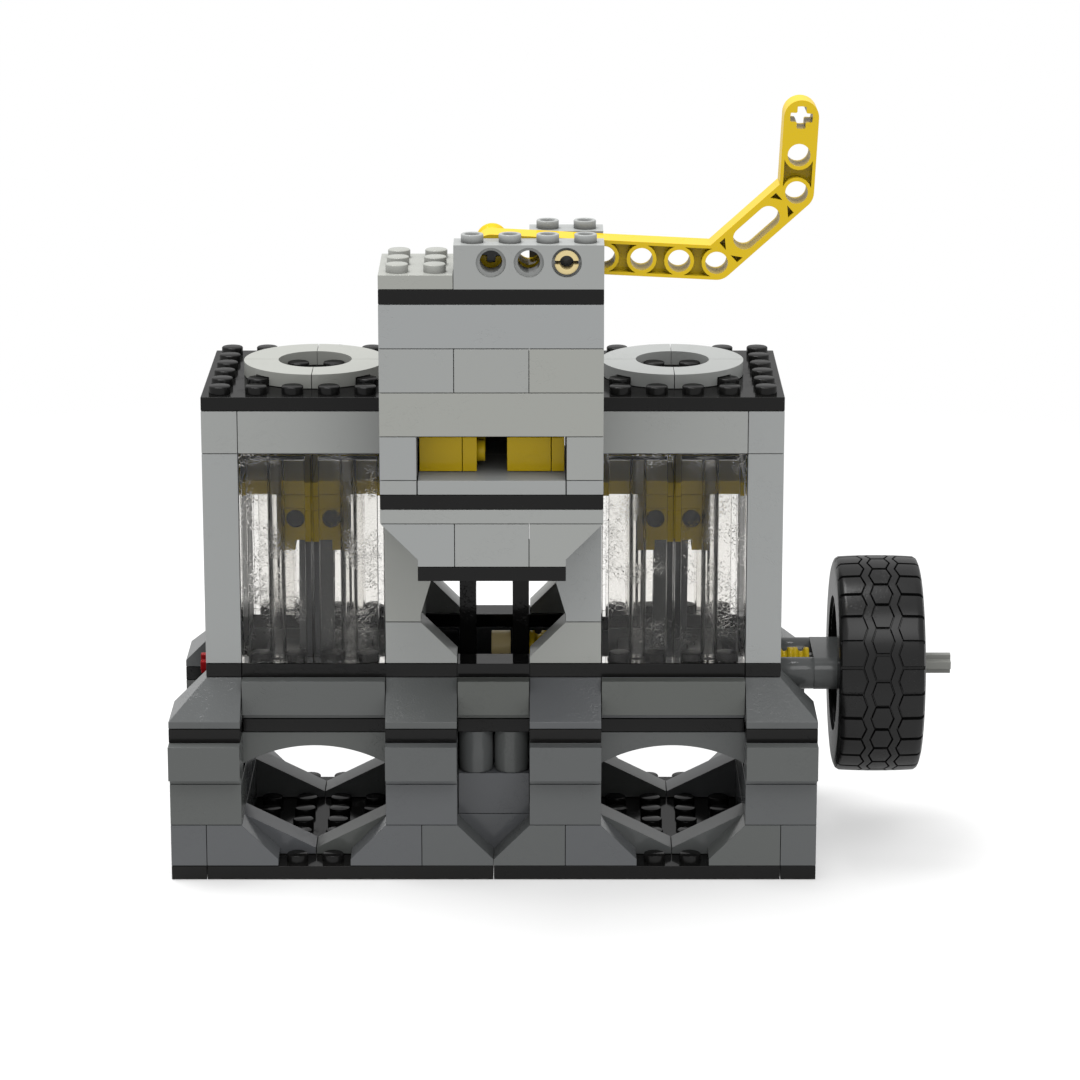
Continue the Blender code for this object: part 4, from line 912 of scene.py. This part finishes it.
def makeLever():
    # A double-bent beam: its outline is an offset of the straight arm, the slope and the upright arm.
    r, s = grid["beamHalf"], pitch
    start, bend, elbow, tip = np.array([(-2 * s, 0), (4 * s, 0), (6 * s, 2 * s), (6 * s, 4 * s)])
    inner = math.tan(math.radians(22.5)) * r
    outline = np.concatenate([arcPoints(start, r, 90, 270, 20), arcPoints(bend, r, 270, 315, 6),
                              arcPoints(elbow, r, 315, 360, 6), arcPoints(tip, r, 0, 180, 20),
                              [(elbow[0] - r, elbow[1] + inner), (bend[0] - inner, bend[1] + r)]])
    straight = [(count * s, 0) for count in range(-2, 5)]
    upright = [(6 * s, count * s) for count in (2, 3, 4)]
    slope = np.array((1, 1)) / math.sqrt(2)
    middle, reach = (bend + elbow) / 2, slope * leverSet["slotReach"]
    slot = stadiumOutline(middle - reach, middle + reach, beamSet["hole"])
    low, high = -5 * s + leverSet["sideGap"], -4 * s - leverSet["sideGap"]
    spans = [*zip(straight[1:-1], straight[2:]), (upright[0], upright[1])]
    pockets = [pocketOutline(near, far) for near, far in spans] + leverCorners(bend, elbow, slope)
    holes = [leverPlace([place])[0] for place in straight[1:] + upright[:2]]
    mesh = beamMesh("handLever", leverPlace(outline), holes, [leverPlace(pocket) for pocket in pockets], [],
                    low, high, "Y", leverSet["tone"])
    cuts = [throughCut(leverPlace(cut), low, high, "Y")
            for cut in (slot, crossOutline(straight[0]), crossOutline(upright[2]))]
    mesh = cutAway("handLever", mesh, cuts, False)
    dressMesh("handLever", mesh, "yellow", "hand_lever", "lever", leverSet["edge"])
    makeLeverBush(straight[0], low, high)


def leverCorners(bend, elbow, slope):
    # Three-sided hollows between each end of the slot and the hole beside it.
    across = np.array((-slope[1], slope[0])) * pocketHalf
    small, large = leverSet["cornerShares"]
    outlines = []
    for centre, way in ((bend, 1), (elbow, -1)):
        near, far = [centre + slope * way * reach for reach in leverSet["corner"]]
        outlines.append(np.array([near + across * small, near + across * large, far + across * large]))
        outlines.append(np.array([near - across * small, far - across * large, near - across * large]))
    return outlines


def makeLeverBush(place, low, high):
    # A grooved bush behind the lever, on an axle that ends just past it.
    v = leverSet
    stop, radius, bore, edge = high + v["bushLength"], v["bushRadius"], v["bushBore"], v["bushEdge"]
    collar, step, neck = v["bushCollar"], v["bushStep"], radius - v["bushGroove"]
    profile = [(high + edge, bore), (high + edge, radius), (high + collar, radius), (high + step, neck),
               (stop - step, neck), (stop - collar, radius), (stop - edge, radius), (stop, radius - edge),
               (stop, bore)]
    bush = turnedSolid(profile, leverPlace([place])[0], "Y", 40, closed=True, tone=0)
    shownObject("leverBush", [bush], "yellow", body="lever", bevel=0)
    cross = crossOutline(place, beamSet["axleReach"] - v["axleGap"], beamSet["axleRib"] - v["axleGap"])
    axle = prismSolid(leverPlace(cross), low + endGap, stop + v["axleReach"], "Y", gap=0)
    shownObject("leverAxle", [axle], "darkGrey", body="lever", bevel=grid["fineEdge"])


# Crankshaft axles: cross sections that both the valve gear and the crankshaft use.
shaftSet = {"reach": 0.0023, "rib": 0.0009, "left": -0.0670, "right": 0.1040, "bush": 0.0036, "bore": 0.00262,
            "groove": 0.0009, "grooveShare": 0.21, "bushFace": 0.00003, "bushEdge": 0.0001, "overlap": 0.0001,
            "roundEdge": 0.0002, "sleeveStart": -0.0007, "redEdge": 0.00012}


def shaftSolid(low, high, z=shaftZ):
    return prismSolid(crossOutline((0, z), shaftSet["reach"], shaftSet["rib"]), low, high, "X", gap=0)


# Valve gear.
valveSet = {"rockerGap": 0.00015, "blockGap": 0.0009, "studRoot": 0.0002}


def makeValveGear():
    end = 2.5 * pitch - endGap
    axle = shaftSolid(-end, end, rockerZ)
    shownObject("rockerAxle", [axle], "black", "rocker_axle", bevel=grid["fineEdge"])
    for word, hand in hands:
        span = (hand * (pitch / 2 + valveSet["rockerGap"]), hand * (pitch - valveSet["rockerGap"]))
        straightBeam("valveRocker" + word.title(), "valve_rocker_" + word, (0, eccentricZ),
                     (0, rockerZ + 3 * pitch), 8, span, "black", "rocker_" + word, crossed=(0, 7))
    z = (30 * plate, 30 * plate + grid["beamThick"])
    y = (-5 * pitch, -grid["beamHalf"] - valveSet["blockGap"])
    outer, edge = 2 * pitch, 2 * pitch - 4 * plate
    left = [boxSolid(x, y, z) for x in ((endGap - outer, -edge - plate), (-edge - plate, -edge))]
    left += [rodSolid((row * pitch, (z[0] + z[1]) / 2), grid["studRadius"], -edge - valveSet["studRoot"],
                      -edge + grid["studHeight"], "X") for row in (-4.5, -3.5, -2.5, -1.5)]
    right = [boxSolid(x, y, z) for x in ((edge, outer - plate), (outer - plate, outer - endGap))]
    shownObject("valveBlockLeft", left, "yellow", "valve_block_left", "valve_left")
    shownObject("valveBlockRight", right, "yellow", "valve_block_right", "valve_right")


# Pistons and rods.
pistonSet = {"disc": 0.0020, "discRise": 0.0014, "discGap": 0.0001, "discWell": 0.0020, "discSink": 0.0002,
             "discEnd": 0.0018, "slotRise": 0.0040, "notch": 0.0024}


def makePiston(word, hand):
    # A yoke with a slot for the rod and a notch in front, a crown, pin discs and the rod itself.
    p, s, middle, title, body = pistonSet, pitch, hand * 5 * pitch, word.title(), "piston_" + word
    wide, room = 2 * s - endGap, grid["beamRoom"]
    foot = gudgeonZ - grid["holeRise"]
    joint, top = foot + 3 * plate, foot + 4 * plate
    x, slot = (middle - s, middle + s), (middle - room, middle + room)
    yoke = [boxSolid(x, (-wide, s), (foot, joint)), boxSolid(x, (-wide, s), (joint, top))]
    cuts = [boxSolid(slot, (-s, s + overrun), (foot - overrun, gudgeonZ + p["slotRise"]), gap=0),
            boxSolid(slot, (-wide - overrun, -s + overrun), (foot - overrun, foot + p["notch"]), gap=0)]
    discs = [(middle + offset * s, gudgeonZ + p["discRise"]) for offset in (-0.5, 0.5)]
    cuts += [rodSolid(disc, p["disc"] + p["discGap"], -wide - overrun, p["discWell"] - wide, "Y", 40, cutEdge)
             for disc in discs]
    mesh = carvedMesh("pistonYoke" + title, yoke, cuts, tone=0)
    # The yoke and the crown take the darker yellow, which is painted shade.
    dressMesh("pistonYoke" + title, mesh, "yellowPaintedShade", body, body)
    crown = [boxSolid((middle, end), (-wide, wide), (top, top + plate))
             for end in (middle - wide, middle + wide)]
    shownObject("pistonCrown" + title, crown, "yellowPaintedShade", body=body)
    pins = [rodSolid(disc, p["disc"], -wide + p["discSink"], -wide + p["discEnd"], "Y") for disc in discs]
    pins.append(rodSolid((0, gudgeonZ), grid["pin"], slot[0] - p["discSink"], slot[1] + p["discSink"], "X"))
    shownObject("pistonPins" + title, pins, "black", body=body, bevel=0)
    half = grid["beamThick"] / 2
    straightBeam("connectingRod" + title, "connecting_rod_" + word, (hand * s, shaftZ), (0, gudgeonZ), 5,
                 (middle - half, middle + half), "darkGrey", "connecting_rod_" + word)


# Crankshaft.
def grooveProfile(marks):
    # Half bushes in a row: each has a collar, a groove that is half an ellipse and another collar.
    radius, face, edge = shaftSet["bush"], shaftSet["bushFace"], shaftSet["bushEdge"]
    groove, share = shaftSet["groove"], shaftSet["grooveShare"]
    profile = [(marks[0], shaftSet["bore"])]
    for low, high in zip(marks, marks[1:]):
        wide = high - low
        profile += [(low + face, radius - edge), (low + face + edge, radius)]
        profile += [(low + wide * (0.5 + share * t), radius - groove * math.sqrt(1 - t * t))
                    for t in np.linspace(-1, 1, 13)]
        profile += [(high - face - edge, radius), (high - face, radius - edge)]
    return profile + [(marks[-1], shaftSet["bore"])]


def crankPiece(name, solids, finish, node, bevel=0):
    return shownObject(name, solids, finish, node, "crankshaft", bevel)


def makeCrankshaft():
    s, v, fine = pitch, shaftSet, grid["fineEdge"]
    thick, innerEnd, outerEnd = grid["beamThick"], 5 * s - grid["beamRoom"], 5 * s + grid["beamRoom"]
    crankPiece("shaftLeft", [shaftSolid(-8 * s, -outerEnd)], "shaftGrey", "shaft_left", fine)
    crankPiece("shaftRight", [shaftSolid(outerEnd, v["right"])], "shaftGrey", "shaft_right", fine)
    for word, hand in hands:
        closed = 0 if hand < 0 else 2
        for place, start, way in (("outer", outerEnd, 1), ("inner", innerEnd, -1)):
            straightBeam("crankWeb" + place.title() + word.title(), "crank_web_%s_%s" % (place, word),
                         (-s, shaftZ), (s, shaftZ), 3, (hand * start, hand * (start + way * thick)),
                         "darkGrey", "crankshaft", closed=(closed,), crossed=(1,))
    # The eccentric: two webs with stubs of shaft, a crank pin between them, its bush and its sleeve.
    lobe, pinCentre = stadiumOutline((0, shaftZ), (0, eccentricZ), grid["beamHalf"]), (0, eccentricZ)
    leftFace, rightFace = -s - endGap, 1.5 * s + endGap
    leftEnd, rightEnd = leftFace - s / 2 + endGap, 2 * s - endGap
    left = [prismSolid(lobe, leftEnd, leftFace, "X", gap=0), shaftSolid(-innerEnd, leftEnd + v["overlap"])]
    crankPiece("valveCrankLeft", left, "shade", "valve_crank_left", grid["edge"])
    stub = rodSolid(pinCentre, grid["pin"], s - v["overlap"], rightFace + 2 * v["overlap"], "X")
    right = [prismSolid(lobe, rightFace, rightEnd, "X", gap=0), shaftSolid(rightEnd - v["overlap"], innerEnd),
             stub]
    crankPiece("valveCrankRight", right, "shade", "valve_crank_right", grid["edge"])
    bush = turnedSolid(grooveProfile([s - v["overlap"], 1.5 * s]), pinCentre, "X", 40, closed=True)
    crankPiece("eccentricBush", [bush], "yellow", "eccentric_bush")
    sleeve = rodSolid(pinCentre, grid["sleeve"], v["sleeveStart"], s / 2 - endGap, "X", 40, v["roundEdge"])
    crankPiece("eccentricSleeve", [sleeve], "tan", "eccentric_sleeve")
    wall = 8 * s
    marks = [wall + endGap, wall + 0.5 * s, wall + s - endGap]
    stop = turnedSolid(grooveProfile(marks), (0, shaftZ), "X", 40, closed=True)
    crankPiece("stopBushRight", [stop], "yellow", "stop_bush_right")
    crankPiece("shaftEndLeft", [shaftSolid(v["left"], -wall)], "red", "stop_bush_left", v["redEdge"])
    makeDriveBeam()


def makeDriveBeam():
    # A short beam inside the rim, held off the wall by two spacers.
    low = 9 * pitch + endGap
    places = [(-pitch, shaftZ), (0, shaftZ), (pitch, shaftZ)]
    pockets = [pocketOutline(near, far) for near, far in zip(places, places[1:])]
    outline = stadiumOutline(places[0], places[2], grid["beamHalf"])
    mesh = beamMesh("driveBeam", outline, [], pockets, [places[1]], low, low + grid["beamThick"], "X", 0)
    dressMesh("driveBeam", mesh, "darkGrey", "drive_beam", "crankshaft")
    spacers = [rodSolid((side * pitch, shaftZ), grid["sleeve"], 8 * pitch + 2 * endGap, low + endGap, "X", 40,
                        shaftSet["roundEdge"], tone=0) for side in (-1, 1)]
    crankPiece("driveSpacers", spacers, "darkGrey", None)


# Flywheel.
tyreSet = {"radius": 0.0246, "left": 0.0772, "right": 0.0965, "bead": 0.0154, "blocks": 26, "depth": 0.0008,
           "wall": 0.00013, "hexPoint": 0.0024, "hexFlat": 0.0014, "floor": 0.0002, "rib": 0.0015,
           "gap": 0.0003, "shoulder": 0.0010, "crown": 0.0003, "bulge": 0.0002, "sharpAngle": 32}
# Shares of one block's length, of the tread's half width, of the shoulder, and of the side wall.
tyreShares = {"plain": (0.08, 0.42), "roundStart": 0.94, "round": 0.06, "inset": 0.55, "fall": 0.4,
              "sideDrop": 0.5, "bulgeEnd": 1.05, "turnIn": 0.25, "turnPower": 0.6}


def treadPhases(gap, wall):
    # Places along one block, from nought to one: close together at its two grooves, even between.
    first, last = tyreShares["plain"]
    plain = np.linspace(0.5 * wall + first, last - 0.5 * wall, 6)
    half = np.concatenate([[0, gap, wall], plain, [0.5 - wall, 0.5 - gap]])
    return np.sort(np.concatenate([half, 1 - half[1:], [0.5]]))


def makeTyre():
    # The tread is a grid of (way across, way round). Its columns follow the zigzag edges of the
    # hexagons, the bent ribs and the shoulder blocks, and between them the radius drops by the depth.
    t, share = tyreSet, tyreShares
    middle, half = (t["left"] + t["right"]) / 2, (t["right"] - t["left"]) / 2
    flat = half - t["shoulder"] * share["inset"]
    arcLength = 2 * np.pi * t["radius"] / t["blocks"]
    gap, wall = t["gap"] / arcLength, (t["gap"] + t["wall"]) / arcLength
    phases = treadPhases(gap, wall)
    around = ((np.arange(t["blocks"])[:, None] + phases[None, :]) / t["blocks"]).ravel()
    phase = np.tile(phases, t["blocks"])[:, None]
    edge = t["hexFlat"] + (t["hexPoint"] - t["hexFlat"]) * (1 - np.abs(2 * phase - 1))
    # The columns' lines: the hexagon's middle and edge, then the groove, the rib and the shoulder.
    widths = [0, t["floor"], t["wall"], t["rib"], t["wall"], t["floor"], t["wall"]]
    marks = [0 * edge, edge - t["wall"]] + [edge + width for width in np.cumsum(widths)] + [0 * edge + flat]
    levels = np.zeros((3, len(marks)))                  # hexagon, rib and shoulder
    levels[0, :2] = levels[1, 4:6] = levels[2, 8:] = 1
    columns, heights = [marks[0]], [levels[:, 0]]
    for index, count in enumerate((4, 1, 1, 1, 3, 1, 1, 1, 7)):
        for way in np.linspace(0, 1, count + 1)[1:]:
            columns.append(marks[index] * (1 - way) + marks[index + 1] * way)
            heights.append(levels[:, index] * (1 - way) + levels[:, index + 1] * way)
    x = np.concatenate(columns, axis=1)
    x = np.concatenate([-x[:, :0:-1], x], axis=1)
    inHexagon, onRib, inShoulder = np.array(heights[:0:-1] + heights).T[:, None, :]
    toFlat, toPoint = np.minimum(phase, 1 - phase), np.abs(phase - 0.5)
    blocks = np.maximum(inHexagon * np.clip((toFlat - gap) / (wall - gap), 0, 1),
                        inShoulder * np.clip((toPoint - gap) / (wall - gap), 0, 1))
    raised = np.maximum(blocks, onRib)
    # The crown falls off as a square across the tyre, and faster where the shoulder rounds off.
    across = x / flat
    rounding = np.clip((np.abs(across) - share["roundStart"]) / share["round"], 0, 1)
    fall = t["shoulder"] * share["fall"] * rounding ** 2
    radius = t["radius"] - t["crown"] * across ** 2 - fall - t["depth"] * (1 - raised)
    turn = (2 * np.pi * around)[:, None]
    tread = np.stack([middle + x, radius * np.sin(turn), shaftZ + radius * np.cos(turn)], axis=2)
    # The side walls run from the shoulder in to the bead, and bulge by a sine.
    way = np.linspace(0, 1, 15)[1:]
    shoulderRadius = t["radius"] - t["crown"] - t["shoulder"] * share["sideDrop"]
    radius = shoulderRadius * (1 - way) + t["bead"] * way
    bulge = np.sin(np.pi * np.clip(way * share["bulgeEnd"], 0, 1)) * t["bulge"]
    bulge += t["shoulder"] * share["inset"] * np.clip(way / share["turnIn"], 0, 1) ** share["turnPower"]
    place = np.minimum(flat + bulge, half) + 0 * turn
    walls = [np.stack([middle + hand * place, np.sin(turn) * radius, shaftZ + np.cos(turn) * radius], axis=2)
             for hand in (-1, 1)]
    section = np.concatenate([walls[0][:, ::-1], tread, walls[1]], axis=1)
    tyre = crankPiece("tyreTread", [loftSolid(section, wrap=True, tone=0)], "rubber", "tyre")
    tyre.data.set_sharp_from_angle(angle=math.radians(t["sharpAngle"]))


# Wheel rim.
rimSet = {"inset": 0.0005, "seat": 0.0003, "well": 0.0017, "wellSlope": 0.0006, "draft": 0.0004,
          "hub": 0.0042, "hubDraft": 0.0002, "bore": 0.00245, "disc": 0.0040, "discThick": 0.003,
          "hole": 0.0024, "holes": 6}


def makeRim():
    # The rim's section turned about the shaft, with round holes through its disc.
    r, bead = rimSet, tyreSet["bead"]
    left, right = tyreSet["left"] + r["inset"], tyreSet["right"] - r["inset"]
    seat, well, hub, bore = bead - r["seat"], bead - r["well"], r["hub"], r["bore"]
    disc = left + r["disc"]
    inner = disc + r["discThick"]
    profile = [(left, seat), (right, seat), (right, well), (inner, well - r["wellSlope"]), (inner, hub),
               (right, hub - r["hubDraft"]), (right, bore), (disc, bore), (disc, well - r["draft"]),
               (left, well)]
    ring = turnedSolid(profile, (0, shaftZ), "X", 96, closed=True, tone=0)
    cuts = [rodSolid(place, r["hole"], disc - overrun, inner + overrun, "X", edge=cutEdge)
            for place in circlePoints((0, shaftZ), pitch, r["holes"])]
    dressMesh("wheelRim", carvedMesh("wheelRim", [ring], cuts, tone=0), "black", "wheel_rim", "crankshaft")


makeCamera()
makeLights()
makeFloor()
makeBase()
makeLowerWall("lower_wall_front", -1)
makeLowerWall("lower_wall_back", 1)
makeBelts()
makeSlopeCourse("slope_course_front", -1)
makeSlopeCourse("slope_course_back", 1)
print("base and belts ready")
for word, hand in hands:
    makeCylinderBlock(word, hand)
makeClearBricks()
makeBlockTops()
print("cylinder blocks ready")
makeTower()
makeTowerHead()
makePivotPin()
makeLever()
print("tower and lever ready")
makeValveGear()
for word, hand in hands:
    makePiston(word, hand)
makeCrankshaft()
makeTyre()
makeRim()
print("running gear ready")

# The bearing bricks keep the CAD's shape.
for place in ("inner", "outer"):
    for word, hand in hands:
        materials = nodes["bearing_brick_%s_%s" % (place, word)].data.materials
        materials.clear()
        materials.append(paint["darkGrey"])

bpy.context.scene.view_settings.view_transform = "Standard"
